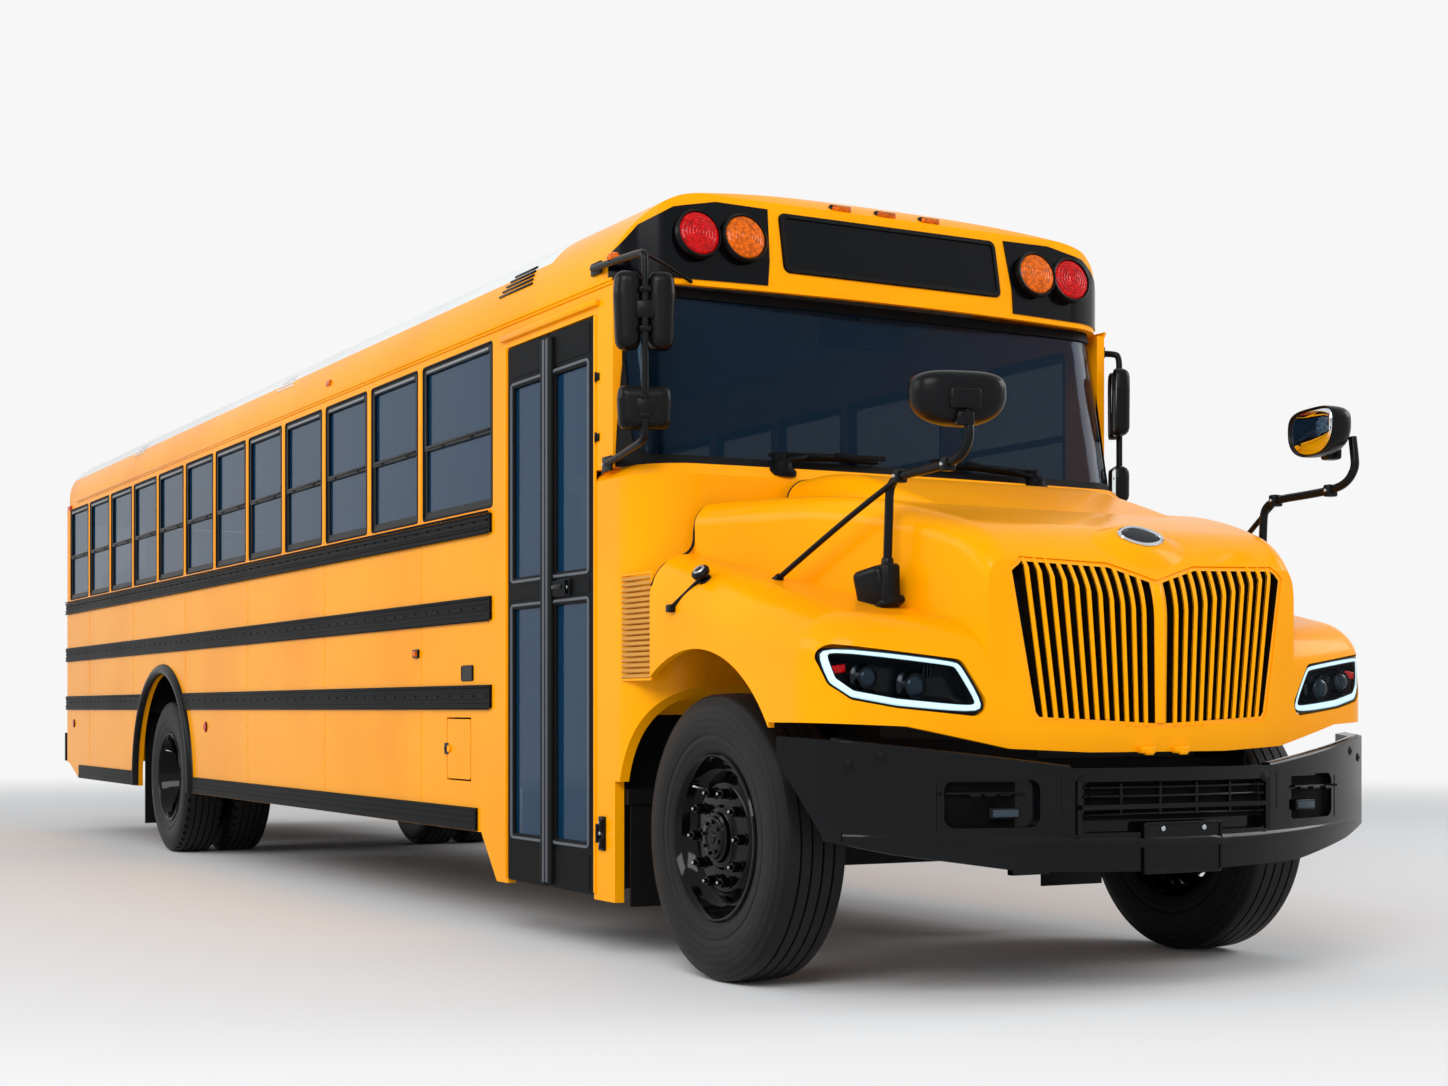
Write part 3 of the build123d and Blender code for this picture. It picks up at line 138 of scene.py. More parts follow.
def new_material(name):
    """An empty material: itself, its tree, its output and the object's own coordinates."""
    made = bpy.data.materials.new(name)
    made.use_nodes = True
    tree = made.node_tree
    tree.nodes.clear()
    out = tree.nodes.new("ShaderNodeOutputMaterial")
    place = tree.nodes.new("ShaderNodeTexCoord").outputs["Object"]
    return made, tree, out, place


def bsdf(tree, out, links=None, **sockets):
    """The surface itself, joined to the material's output."""
    made = add(tree, "BsdfPrincipled", links, **sockets)
    tree.links.new(made.outputs["BSDF"], out.inputs["Surface"])
    return made


def enamel(name, colour, shade, rough, coat, above=None, level=0.25):
    """Sprayed two-pack enamel: colour under gloss, orange peel, a faint cloud of road dust.

    above gives a height and a colour: a second coat over everything higher than that.
    """
    made, tree, out, place = new_material(name)
    peel = noise(tree, place, 55.0, 2.0)
    cloud = noise(tree, place, 0.9, 4.0)
    colour_out = blend(tree, spread(tree, cloud, From_Min=0.42, From_Max=0.68),
                       linear(colour), linear(shade))
    if above:
        axes = add(tree, "SeparateXYZ", {"Vector": place})
        edge = maths(tree, "GREATER_THAN", axes.outputs["Z"], above[0])
        colour_out = blend(tree, edge, colour_out, linear(above[1]))
    gloss = spread(tree, cloud, To_Min=rough * 0.8, To_Max=rough * 1.3)
    bsdf(tree, out, {"Base Color": colour_out, "Roughness": gloss,
                     "Normal": relief(tree, peel, 0.05, 0.001)},
         Coat_Weight=coat, Coat_Roughness=0.05, IOR=1.5, Specular_IOR_Level=level)
    return made


def moulded(name, colour, rough, grain_mm, depth):
    """Moulded plastic or rubber with an even fine grain."""
    made, tree, out, place = new_material(name)
    grain = noise(tree, place, 1000 / grain_mm, 3.0)
    wear = noise(tree, place, 4.0, 5.0)
    gloss = spread(tree, wear, To_Min=rough * 0.82, To_Max=min(1.0, rough * 1.2))
    bsdf(tree, out, {"Roughness": gloss, "Normal": relief(tree, grain, depth, 0.001)},
         Base_Color=linear(colour), Specular_IOR_Level=0.12)
    return made


def tinted(name, colour, alpha):
    """Tinted safety glass: mostly a dark reflection, with a little of the cabin seen through."""
    made, tree, out, place = new_material(name)
    wave = noise(tree, place, 1.6, 1.0)
    bsdf(tree, out, {"Normal": relief(tree, wave, 0.03, 0.01)}, Base_Color=linear(colour),
         Roughness=0.03, Alpha=alpha, IOR=1.5, Specular_IOR_Level=0.3,
         Specular_Tint=linear("9CC4E4"))
    return made


def lens(name, colour, glow, facet=0.30):
    """Moulded acrylic lens with a grid of small prisms behind its face."""
    made, tree, out, place = new_material(name)
    prisms = add(tree, "TexVoronoi", {"Vector": place}, Scale=60.0).outputs["Distance"]
    dim = tuple(facet * v for v in linear(colour)[:3]) + (1.0,)
    colour_out = blend(tree, spread(tree, prisms, From_Max=0.9), linear(colour), dim)
    bsdf(tree, out, {"Base Color": colour_out, "Normal": relief(tree, prisms, 0.35, 0.003)},
         Roughness=0.14, Emission_Color=linear(colour), Emission_Strength=glow,
         Coat_Weight=0.08, Specular_IOR_Level=0.12)
    return made


def bare_metal(name, colour, rough, grain_mm):
    """Plated or brushed metal with a fine uneven polish."""
    made, tree, out, place = new_material(name)
    grain = noise(tree, place, 1000 / grain_mm, 3.0)
    gloss = spread(tree, grain, To_Min=rough * 0.7, To_Max=rough * 1.4)
    bsdf(tree, out, {"Roughness": gloss, "Normal": relief(tree, grain, 0.05, 0.0005)},
         Base_Color=linear(colour), Metallic=1.0)
    return made


def shaded_gaps(name, colour, dark, rough):
    """Grille enamel: full colour on faces turned forward, and painted shade on faces turned aside,
    where the dark colour stands for the shadow in the gaps between the bars.
    """
    made, tree, out, place = new_material(name)
    turned_to = add(tree, "TexCoord").outputs["Normal"]
    axes = add(tree, "SeparateXYZ", {"Vector": turned_to})
    ahead = maths(tree, "MULTIPLY", axes.outputs["Y"], -1.0)
    gloss = spread(tree, noise(tree, place, 6.0, 3.0), To_Min=rough * 0.8, To_Max=rough * 1.3)
    # Painted shade: the less a face turns forward, the more of the dark colour it takes.
    colour_out = blend(tree, spread(tree, ahead, From_Min=0.28, From_Max=0.50),
                       linear(dark), linear(colour))
    bsdf(tree, out, {"Base Color": colour_out, "Roughness": gloss},
         Coat_Weight=0.1, Coat_Roughness=0.05, Specular_IOR_Level=0.12)
    return made


def tyre_rubber(name, axle_y):
    """Tyre rubber: rings moulded round the sidewall, sipes across the tread, a dusty bloom, and a
    painted sheen of lighter and darker bands by distance from the axle, standing for light caught
    on the moulded rings.
    """
    made, tree, out, place = new_material(name)
    axes = add(tree, "SeparateXYZ", {"Vector": place})
    dy = maths(tree, "SUBTRACT", axes.outputs["Y"], axle_y)
    dz = maths(tree, "SUBTRACT", axes.outputs["Z"], TYRE_R)
    flat = add(tree, "CombineXYZ", {"Y": dy, "Z": dz})
    reach = add(tree, "VectorMath", {0: flat.outputs["Vector"]},
                operation="LENGTH").outputs["Value"]
    wave = maths(tree, "SINE", maths(tree, "MULTIPLY", reach, math.tau / RIB_PITCH))
    around = maths(tree, "MULTIPLY", maths(tree, "ARCTAN2", dz, dy), SIPE_RATE)
    sipes = maths(tree, "MULTIPLY", maths(tree, "LESS_THAN", maths(tree, "SINE", around), -0.86),
                  maths(tree, "GREATER_THAN", reach, TREAD_FROM))
    band = spread(tree, reach, From_Min=0.455, From_Max=0.462, To_Min=0.0, To_Max=0.35)
    ribs = maths(tree, "MULTIPLY", wave, band)
    cuts = maths(tree, "ADD", ribs, maths(tree, "MULTIPLY", sipes, -3.0))
    height = maths(tree, "ADD", cuts, noise(tree, place, 900.0, 3.0))
    # Painted sheen: the colour turns lighter and darker in bands round the axle, standing for
    # light caught on the rings.
    sheen_wave = maths(tree, "SINE", maths(tree, "MULTIPLY", reach, math.tau / SHEEN_BAND_PITCH))
    painted_sheen_bands = spread(tree, sheen_wave, From_Min=-1.0, To_Min=-0.30, To_Max=0.40)
    share = maths(tree, "ADD", noise(tree, place, 5.0, 5.0), painted_sheen_bands, use_clamp=True)
    colour_out = blend(tree, share, linear("0B0B0C"), linear("1C1B1A"))
    bsdf(tree, out, {"Base Color": colour_out, "Normal": relief(tree, height, 0.55, 0.0012)},
         Roughness=0.48, Specular_IOR_Level=0.14)
    return made


YELLOW = enamel("school_bus_yellow_enamel", "FEA600", "F69B00", 0.22, 0.07, level=0.05)
GRILLE_PAINTED_GAP_SHADE = shaded_gaps("grille_yellow_enamel_painted_gap_shade", "FEA300", "171008", 0.26)
YELLOW_WHITE = enamel("rear_cap_two_tone_enamel", "FEA600", "F69B00", 0.22, 0.07,
                      (2.87, "E2E4E4"), 0.05)
WHITE = enamel("white_roof_enamel", "E2E4E4", "D8DBDB", 0.45, 0.2)
SIGN_WHITE = enamel("stop_arm_white_enamel", "F2F2F0", "E9E9E6", 0.35, 0.2)
BLACK_GLOSS = enamel("black_gloss_bumper_enamel", "050608", "090A0C", 0.14, 0.22, level=0.06)
RIM_BLACK = enamel("black_wheel_enamel", "030304", "050506", 0.11, 0.22, level=0.05)
BLACK_SATIN = enamel("black_rail_enamel", "0C0D0F", "131416", 0.42, 0.0, level=0.04)
DOOR_BLACK = enamel("black_door_enamel", "0D0F11", "131518", 0.40, 0.0, level=0.03)
RED_ENAMEL = enamel("stop_arm_red_enamel", "B81618", "AA1416", 0.3, 0.3)
CHASSIS = moulded("chassis_black_paint", "101012", 0.6, 3.0, 0.2)
RUBBER = moulded("seal_rubber", "0C0C0D", 0.62, 1.6, 0.15)
FLARE = moulded("arch_flare_rubber", "0E0F11", 0.30, 1.4, 0.08)
TYRES = {"front": tyre_rubber("tyre_rubber_front", AXLE_F),
         "rear": tyre_rubber("tyre_rubber_rear", AXLE_R)}
ABS = moulded("black_abs", "0B0C0E", 0.26, 0.8, 0.06)
PANEL = moulded("lamp_panel_black", "04060A", 0.16, 0.8, 0.03)
SASH = moulded("black_anodised_sash", "101113", 0.38, 0.6, 0.05)
SASH_LIGHT = bare_metal("sash_top_band_aluminium", "8D9296", 0.35, 1.0)
TRIM_GREY = moulded("grey_door_gasket", "5B6066", 0.45, 1.0, 0.06)
IRON = moulded("engine_iron", "4A4C4E", 0.6, 2.5, 0.3)
FLOOR_MAT = moulded("ribbed_floor_rubber", "1B1C1E", 0.8, 4.0, 0.3)
DASH = moulded("dashboard_abs", "1E2023", 0.55, 1.2, 0.15)
VINYL = moulded("seat_vinyl", "1C2634", 0.46, 2.2, 0.3)
SEAT_CLOTH = moulded("driver_seat_cloth", "202226", 0.85, 1.8, 0.5)
SEAT_SHELL = moulded("seat_back_shell", "222B38", 0.5, 1.5, 0.15)
FRAME_GREY = moulded("seat_frame_paint", "3A3D40", 0.5, 1.5, 0.1)
ZINC = bare_metal("zinc_plated_steel", "B4B8BC", 0.28, 1.0)
CHROME = bare_metal("chrome_trim", "C9CDD2", 0.10, 2.0)
CHROME_DARK = bare_metal("smoked_lamp_reflector", "23262A", 0.16, 2.0)
LOUVRE = moulded("louvre_panel_amber_grey", "C88E3C", 0.5, 1.2, 0.1)
MIRROR = bare_metal("mirror_glass", "D5DBE0", 0.03, 9.0)
BUCKET = moulded("lamp_bucket_black", "0A0B0D", 0.22, 0.8, 0.04)
RECESS_SHADOW_SHEET = moulded("recess_shadow_black", "010102", 0.95, 1.5, 0.1)
BADGE = moulded("badge_face_blue_black", "0A111C", 0.12, 0.8, 0.03)
GLASS = tinted("tinted_side_glass", "0C3654", 0.74)
SCREEN = tinted("windscreen_glass", "02182B", 0.54)
COVER = tinted("headlamp_cover", "0C1116", 0.10)
PROJECTOR = tinted("projector_lens", "1C242B", 0.90)
LENS_CLEAR = tinted("fog_lamp_lens", "39424A", 0.9)
LIGHT_RING = lens("white_light_ring", "C6E8F4", 0.62, 0.94)
LENS_RED = lens("red_lamp_lens", "D2060C", 0.16)
LENS_AMBER = lens("amber_lamp_lens", "EE6C00", 0.14)

finishes = {
    "frame_rails": CHASSIS, "engine": IRON, "axles": CHASSIS, "driveline": CHASSIS,
    "fuel_tank": CHASSIS, "floor": FLOOR_MAT, "side_wall_kerb": YELLOW,
    "side_wall_driver": YELLOW, "door_surround": YELLOW, "cowl": YELLOW, "front_cap": YELLOW,
    "roof": WHITE, "roof_coves": YELLOW, "rear_cap": YELLOW_WHITE, "rear_wall": YELLOW,
    "rub_rails": BLACK_SATIN, "bumper_front": BLACK_GLOSS, "bumper_rear": BLACK_SATIN,
    "window_frames": SASH, "windscreen_gasket": RUBBER, "windscreen": SCREEN,
    "side_glass": GLASS, "light_panels": PANEL, "lamps_red": LENS_RED,
    "lamps_amber": LENS_AMBER, "dashboard": DASH, "driver_seat": VINYL,
    "passenger_seats": VINYL, "side_mirrors": ABS, "wipers": BLACK_SATIN,
    "mud_flaps": RUBBER, "hood_shell": YELLOW, "grille": GRILLE_PAINTED_GAP_SHADE,
    "grille_screen": BLACK_SATIN, "headlamps": LENS_CLEAR,
    "cross_mirrors": ABS, "entry_leaf_front": DOOR_BLACK, "entry_glass_front": GLASS,
    "entry_leaf_rear": DOOR_BLACK, "entry_glass_rear": GLASS, "rear_door": YELLOW,
    "rear_door_glass": GLASS, "roof_hatch_front": WHITE, "roof_hatch_rear": WHITE,
    "stop_arm": RED_ENAMEL, "battery_door": YELLOW, "knuckle_kerb": CHASSIS,
    "knuckle_driver": CHASSIS, "steering_wheel": DASH,
}
for hand, _ in SIDES:
    finishes["tyre_front_" + hand] = TYRES["front"]
    finishes["tyres_rear_" + hand] = TYRES["rear"]
    finishes["rim_front_" + hand] = RIM_BLACK
    finishes["rim_rear_" + hand] = RIM_BLACK
for name, finish in finishes.items():
    if name not in nodes:
        raise KeyError("no node " + name)
    for slot in nodes[name].material_slots:
        slot.material = finish


# Tools for the pieces
def put(name, mesh, body):
    """A piece from a finished mesh, on its body."""
    piece = bpy.data.objects.new(name, mesh)
    bpy.context.collection.objects.link(piece)
    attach(piece, body)
    return piece


def baked(piece):
    """The mesh that a piece's modifiers make of it."""
    bpy.context.view_layer.update()
    graph = bpy.context.evaluated_depsgraph_get()
    return bpy.data.meshes.new_from_object(piece.evaluated_get(graph))


def tint_new(form, before, tint):
    """Give the faces made since then their material."""
    for face in form.faces:
        if face not in before:
            face.material_index = tint


def soften(form, edges, soft, steps):
    bmesh.ops.bevel(form, geom=edges, offset=soft, affect="EDGES", segments=steps,
                    profile=0.5, material=-1, clamp_overlap=True)


def close_ends(form):
    """Cap every open rim."""
    bmesh.ops.holes_fill(form, edges=[e for e in form.edges if e.is_boundary], sides=0)


def shape(name, body, finish, form, sharp=32):
    """Turn a bmesh into a piece on a body, smooth apart from its sharp edges."""
    bmesh.ops.remove_doubles(form, verts=form.verts, dist=2e-5)
    bmesh.ops.recalc_face_normals(form, faces=form.faces)
    for face in form.faces:
        face.smooth = True
    for edge in form.edges:
        flat = len(edge.link_faces) == 2 and edge.calc_face_angle() < math.radians(sharp)
        edge.smooth = flat
    mesh = bpy.data.meshes.new(name)
    form.to_mesh(mesh)
    form.free()
    for one in (finish if isinstance(finish, list) else [finish]):
        mesh.materials.append(one)
    return put(name, mesh, body)


def turned(degrees):
    """A turn about X, Y and Z."""
    return Euler([math.radians(a) for a in degrees]).to_matrix().to_4x4()


def block(form, centre, size, soft=0.0, steps=2, turn=(0, 0, 0), tint=0):
    """A box with rounded edges, turned by degrees about its own middle."""
    place = Matrix.Translation(centre) @ turned(turn) @ Matrix.Diagonal((*size, 1))
    before = set(form.faces)
    made = bmesh.ops.create_cube(form, size=1.0, matrix=place)
    if soft:
        soften(form, list({e for v in made["verts"] for e in v.link_edges}), soft, steps)
    tint_new(form, before, tint)


def rod(form, start, end, radius, tip=None, sides=20, soft=0.0, steps=2, tint=0):
    """A round or many-sided bar between two points, its rims rounded."""
    a, b = Vector(start), Vector(end)
    aim = (b - a).to_track_quat("Z", "Y").to_matrix().to_4x4()
    before = set(form.faces)
    made = bmesh.ops.create_cone(
        form, cap_ends=True, segments=sides, radius1=radius,
        radius2=radius if tip is None else tip, depth=(b - a).length,
        matrix=Matrix.Translation((a + b) / 2) @ aim)
    if soft:
        rims = {e for v in made["verts"] for e in v.link_edges}
        rims = [e for e in rims if any(len(f.verts) == sides for f in e.link_faces)]
        soften(form, rims, soft, steps)
    tint_new(form, before, tint)


def lathe(form, centre, axis, section, sides=64, tint=0):
    """Spin a section of (along the axis, radius) pairs about the axis."""
    along = Vector(axis).normalized()
    out = along.orthogonal().normalized()
    before = set(form.faces)
    line = [form.verts.new(Vector(centre) + along * a + out * r) for a, r in section]
    edges = [form.edges.new(pair) for pair in zip(line, line[1:])]
    bmesh.ops.spin(form, geom=line + edges, cent=centre, axis=along, angle=math.tau,
                   steps=sides, use_merge=True, use_duplicate=False)
    tint_new(form, before, tint)


def skin(form, rings, close=True, tint=0):
    """Extrude a ring of edges through rings of equal count, and close the last one."""
    before = set(form.faces)
    verts = [form.verts.new(p) for p in rings[0]]
    edges = [form.edges.new((verts[i - 1], verts[i])) for i in range(len(verts))]
    for ring in rings[1:]:
        made = bmesh.ops.extrude_edge_only(form, edges=edges)["geom"]
        fresh = {v for v in made if isinstance(v, bmesh.types.BMVert)}
        edges = [e for e in made if isinstance(e, bmesh.types.BMEdge)
                 and e.verts[0] in fresh and e.verts[1] in fresh]
        moved = []
        for vert, point in zip(verts, ring):
            twin = [e.other_vert(vert) for e in vert.link_edges if e.other_vert(vert) in fresh]
            twin[0].co = point
            moved.append(twin[0])
        verts = moved
    if close:
        bmesh.ops.contextual_create(form, geom=edges)
    tint_new(form, before, tint)


def rounded(points, radius, inset=0.0, steps=4):
    """A convex outline moved in by inset, each corner an arc of the same count."""
    area = sum(a[0] * b[1] - b[0] * a[1] for a, b in zip(points, points[1:] + points[:1]))
    pts = [Vector(p) for p in (points if area > 0 else points[::-1])]
    count = len(pts)
    lines = []
    for i in range(count):
        a, b = pts[i], pts[(i + 1) % count]
        way = (b - a).normalized()
        lines.append((a + Vector((-way.y, way.x)) * inset, way))
    corners = []
    for i in range(count):
        (p, d), (q, e) = lines[i - 1], lines[i]
        cross = d.x * e.y - d.y * e.x
        t = ((q - p).x * e.y - (q - p).y * e.x) / cross
        corners.append(p + d * t)
    out = []
    for i in range(count):
        before, here, after = corners[i - 1], corners[i], corners[(i + 1) % count]
        one, two = before - here, after - here
        half = one.angle(two) / 2
        reach = max(radius - inset, 0.004) / math.tan(half)
        reach = min(reach, one.length * 0.45, two.length * 0.45)
        start, end = here + one.normalized() * reach, here + two.normalized() * reach
        for k in range(steps + 1):
            t = k / steps
            out.append(start * (1 - t) ** 2 + here * (2 * t * (1 - t)) + end * t ** 2)
    return out


def box_outline(low_x, high_x, low_z, high_z):
    return [(low_x, low_z), (high_x, low_z), (high_x, high_z), (low_x, high_z)]


def about(x, z, half_x, half_z):
    """A box outline about its middle."""
    return box_outline(x - half_x, x + half_x, z - half_z, z + half_z)


def pin(form, from_x, to_x, y, z, *sizes, **more):
    """A rod across the bus."""
    rod(form, (from_x, y, z), (to_x, y, z), *sizes, **more)


def ring_frame(form, outline, place, width, thick, radius, soft=0.002, tint=0):
    """A flat frame inside an outline: place turns (u, v, out) into a point."""
    outer = rounded(outline, radius)
    mid = rounded(outline, radius, soft)
    inner_mid = rounded(outline, radius, width - soft)
    inner = rounded(outline, radius, width)
    rows = [(inner, 0.0), (outer, 0.0), (outer, thick - soft), (mid, thick),
            (inner_mid, thick), (inner, thick - soft), (inner, 0.0)]
    skin(form, [[place(u, v, h) for u, v in row] for row, h in rows], False, tint)


def flat_plate(form, outline, place, thick, radius, soft=0.002, tint=0):
    """A plate with a rounded edge: place turns (u, v, out) into a point."""
    outer, mid = rounded(outline, radius), rounded(outline, radius, soft)
    rows = [(mid, 0.0), (outer, 0.0), (outer, thick - soft), (mid, thick)]
    skin(form, [[place(u, v, h) for u, v in row] for row, h in rows], True, tint)


def on_side(side, x):
    """Lays (along, up, out) on a side wall; on_rear and on_front do so on the ends."""
    return lambda u, v, h: Vector((x + side * h, u, v))


def on_rear(y):
    return lambda u, v, h: Vector((u, y + h, v))


def on_front(y):
    return lambda u, v, h: Vector((u, y - h, v))


def from_axle(points):
    """Points whose Y is measured from the front axle."""
    return [(x, AXLE_F + y, z) for x, y, z in points]


def pipe(name, body, finish, points, radius):
    """A tube along a smooth line through its control points, as a mesh."""
    line = bpy.data.curves.new(name, "CURVE")
    line.dimensions = "3D"
    spline = line.splines.new("NURBS")
    spline.points.add(len(points) - 1)
    for point, place in zip(spline.points, points):
        point.co = (*place, 1)
    spline.order_u = 3
    spline.use_endpoint_u = True
    spline.resolution_u = 6
    line.bevel_depth = radius
    line.bevel_resolution = 3
    line.use_fill_caps = True
    carrier = bpy.data.objects.new(name + "_line", line)
    mesh = bpy.data.meshes.new_from_object(carrier)
    bpy.data.objects.remove(carrier)
    mesh.materials.clear()
    mesh.materials.append(finish)
    for face in mesh.polygons:
        face.use_smooth = True
    return put(name, mesh, body)


def carve(piece, form):
    """Cut the closed shapes of a bmesh out of a piece."""
    mesh = bpy.data.meshes.new("cutter")
    form.to_mesh(mesh)
    form.free()
    tool = bpy.data.objects.new("cutter", mesh)
    bpy.context.collection.objects.link(tool)
    cut = piece.modifiers.new("cut", "BOOLEAN")
    cut.object = tool
    cut.solver = "EXACT"
    done = baked(piece)
    piece.modifiers.clear()
    piece.data = done
    bpy.data.objects.remove(tool)
    form = bmesh.new()
    form.from_mesh(done)
    for edge in form.edges:
        if len(edge.link_faces) == 2:
            edge.smooth = edge.calc_face_angle() < math.radians(32)
    form.to_mesh(done)
    form.free()


skins = {}


def cast(node, start, aim):
    """Where a ray meets a CAD node, and the surface direction there, or None twice."""
    if node not in skins:
        form = bmesh.new()
        form.from_mesh(nodes[node].data)
        skins[node] = BVHTree.FromBMesh(form)
        form.free()
    place, normal, _, _ = skins[node].ray_cast(Vector(start), Vector(aim).normalized())
    return place, normal


def on_node(node, start, aim):
    """The same, where missing the node is a fault."""
    place, normal = cast(node, start, aim)
    if place is None:
        raise ValueError("nothing of " + node + " at " + str(start))
    return place, normal


def side_spot(side, y, z):
    """The roof's skin at height z, met from the side."""
    for node in ("roof_coves", "roof", "front_cap"):
        place, normal = cast(node, (side * 2, y, z), (-side, 0, 0))
        if place is not None:
            return place, normal
    raise ValueError("no roof at " + str((y, z)))


def tilted_spot(side, y, z):
    """The same, with the skin's tilt in degrees."""
    spot, out = side_spot(side, y, z)
    return spot, out, math.degrees(math.asin(max(-1, min(1, out.z)))) * side


def top_spot(x, y):
    """The roof's skin above a point, met from above."""
    for node in ("roof_hatch_front", "roof_hatch_rear", "roof", "front_cap", "rear_cap"):
        place, normal = cast(node, (x, y, 4), (0, 0, -1))
        if place is not None:
            return place, normal
    raise ValueError("no roof at " + str((x, y)))


def roof_strip(form, y, half_x, wide, tall, steps):
    """A low rib across the roof that follows its crown."""
    rings = []
    for k in range(steps + 1):
        x = -half_x + 2 * half_x * k / steps
        spot, _ = top_spot(x, y)
        rings.append([spot + Vector((0, -wide / 2, -0.001)),
                      spot + Vector((0, -wide * 0.34, tall)),
                      spot + Vector((0, wide * 0.34, tall)),
                      spot + Vector((0, wide / 2, -0.001))])
    skin(form, rings)
    bmesh.ops.contextual_create(form, geom=[e for e in form.edges if e.is_boundary])


# Wheels: tyres and rims turned about their axles, with nuts, studs and hubs
tread = [(0.0175, 0.5198), (0.0187, 0.5080), (0.0253, 0.5080), (0.0265, 0.5196),
         (0.0615, 0.5190), (0.0627, 0.5070), (0.0693, 0.5070), (0.0705, 0.5186),
         (0.0980, 0.5168), (0.1090, 0.5140), (0.1160, 0.5090), (0.1210, 0.5020),
         (0.1235, 0.4960), (0.1230, 0.4930), (0.1270, 0.4880), (0.1330, 0.4740),
         (0.1375, 0.4560), (0.1397, 0.4360), (0.1400, 0.4140), (0.1385, 0.3930),
         (0.1350, 0.3750), (0.1322, 0.3690), (0.1340, 0.3640), (0.1325, 0.3520),
         (0.1290, 0.3340), (0.1262, 0.3270), (0.1250, 0.3200), (0.1195, 0.3060),
         (0.1150, 0.2960), (0.1120, 0.2900), (0.1120, 0.2840)]
tyre_line = [(-a, r) for a, r in reversed(tread)] + tread + [(-0.1120, 0.2840)]


def make_tyre(form, x, y, lugs):
    """One tyre; lugs presses blocks into its shoulders."""
    lathe(form, (x, y, TYRE_R), (1, 0, 0), tyre_line, 96)
    if not lugs:
        return
    picked = []
    for face in form.faces:
        middle = face.calc_center_median()
        reach = math.hypot(middle.y - y, middle.z - TYRE_R)
        turn = math.atan2(middle.z - TYRE_R, middle.y - y) / math.tau * 96
        if 0.500 < reach < 0.5165 and abs(abs(middle.x - x) - 0.112) < 0.012:
            if int(math.floor(turn)) % 2 == 0:
                picked.append(face)
    made = bmesh.ops.extrude_discrete_faces(form, faces=picked)
    for face in made["faces"]:
        for vert in face.verts:
            out = Vector((0, vert.co.y - y, vert.co.z - TYRE_R)).normalized()
            vert.co -= out * 0.007


front_rim_line = [
    (0.0900, 0.2835), (0.1120, 0.2850), (0.1170, 0.3010), (0.1240, 0.3040), (0.1300, 0.2990),
    (0.1290, 0.2930), (0.1220, 0.2870), (0.1060, 0.2780), (0.0820, 0.2730), (0.0620, 0.2560),
    (0.0540, 0.2470), (0.0530, 0.2400), (0.0580, 0.2270), (0.0700, 0.2110), (0.0820, 0.2010),
    (0.0870, 0.1950), (0.0880, 0.1900), (0.0880, 0.1300), (0.0900, 0.1180), (0.0970, 0.1110),
    (0.1000, 0.1080), (0.1000, 0.1020), (0.1040, 0.0930), (0.1180, 0.0890), (0.1200, 0.0840),
    (0.1220, 0.0790), (0.1290, 0.0760), (0.1320, 0.0700), (0.1330, 0.0460), (0.1290, 0.0420),
    (0.1290, 0.0240), (0.1340, 0.0200), (0.1340, 0.0000), (0.0500, 0.0000), (0.0500, 0.0440),
    (-0.0500, 0.0440), (-0.0500, 0.0800), (0.0500, 0.0800), (0.0650, 0.1100),
    (0.0700, 0.1880), (0.0500, 0.2100), (0.0380, 0.2380), (0.0460, 0.2550), (-0.0560, 0.2550),
    (-0.0820, 0.2700), (-0.1060, 0.2760), (-0.1220, 0.2860), (-0.1300, 0.2990),
    (-0.1240, 0.3040), (-0.1170, 0.3010), (-0.1120, 0.2850), (-0.0850, 0.2820),
    (-0.0600, 0.2640), (0.0550, 0.2640), (0.0750, 0.2790), (0.0900, 0.2835)]
rear_rim_line = [
    (0.0900, 0.2835), (0.1120, 0.2850), (0.1170, 0.3010), (0.1240, 0.3040), (0.1300, 0.2990),
    (0.1290, 0.2930), (0.1220, 0.2870), (0.1060, 0.2780), (0.0820, 0.2730), (0.0600, 0.2590),
    (-0.0950, 0.2550), (-0.1150, 0.2470), (-0.1280, 0.2280), (-0.1380, 0.2080),
    (-0.1400, 0.1980), (-0.1400, 0.1300), (-0.1300, 0.1140), (-0.1000, 0.1030),
    (-0.0950, 0.0960), (0.0040, 0.0930), (0.0060, 0.0980), (0.0160, 0.0980), (0.0200, 0.0900),
    (0.0200, 0.0320), (0.0280, 0.0280), (0.0280, 0.0000), (-0.1460, 0.0000),
    (-0.1460, 0.0680), (-0.3500, 0.0680), (-0.3500, 0.1100), (-0.1780, 0.1100),
    (-0.1780, 0.2260), (-0.1950, 0.2550), (-0.4300, 0.2560), (-0.4470, 0.2860),
    (-0.4550, 0.2990), (-0.4490, 0.3040), (-0.4420, 0.3010), (-0.4370, 0.2850),
    (-0.4100, 0.2820), (-0.3850, 0.2640), (-0.2650, 0.2640), (-0.2400, 0.2820),
    (-0.2130, 0.2850), (-0.2080, 0.3010), (-0.2010, 0.3040), (-0.1950, 0.2990),
    (-0.1880, 0.2660), (-0.1440, 0.2660), (-0.1300, 0.2990), (-0.1240, 0.3040),
    (-0.1170, 0.3010), (-0.1120, 0.2850), (-0.0850, 0.2820), (-0.0600, 0.2660),
    (0.0550, 0.2660), (0.0750, 0.2790), (0.0900, 0.2835)]

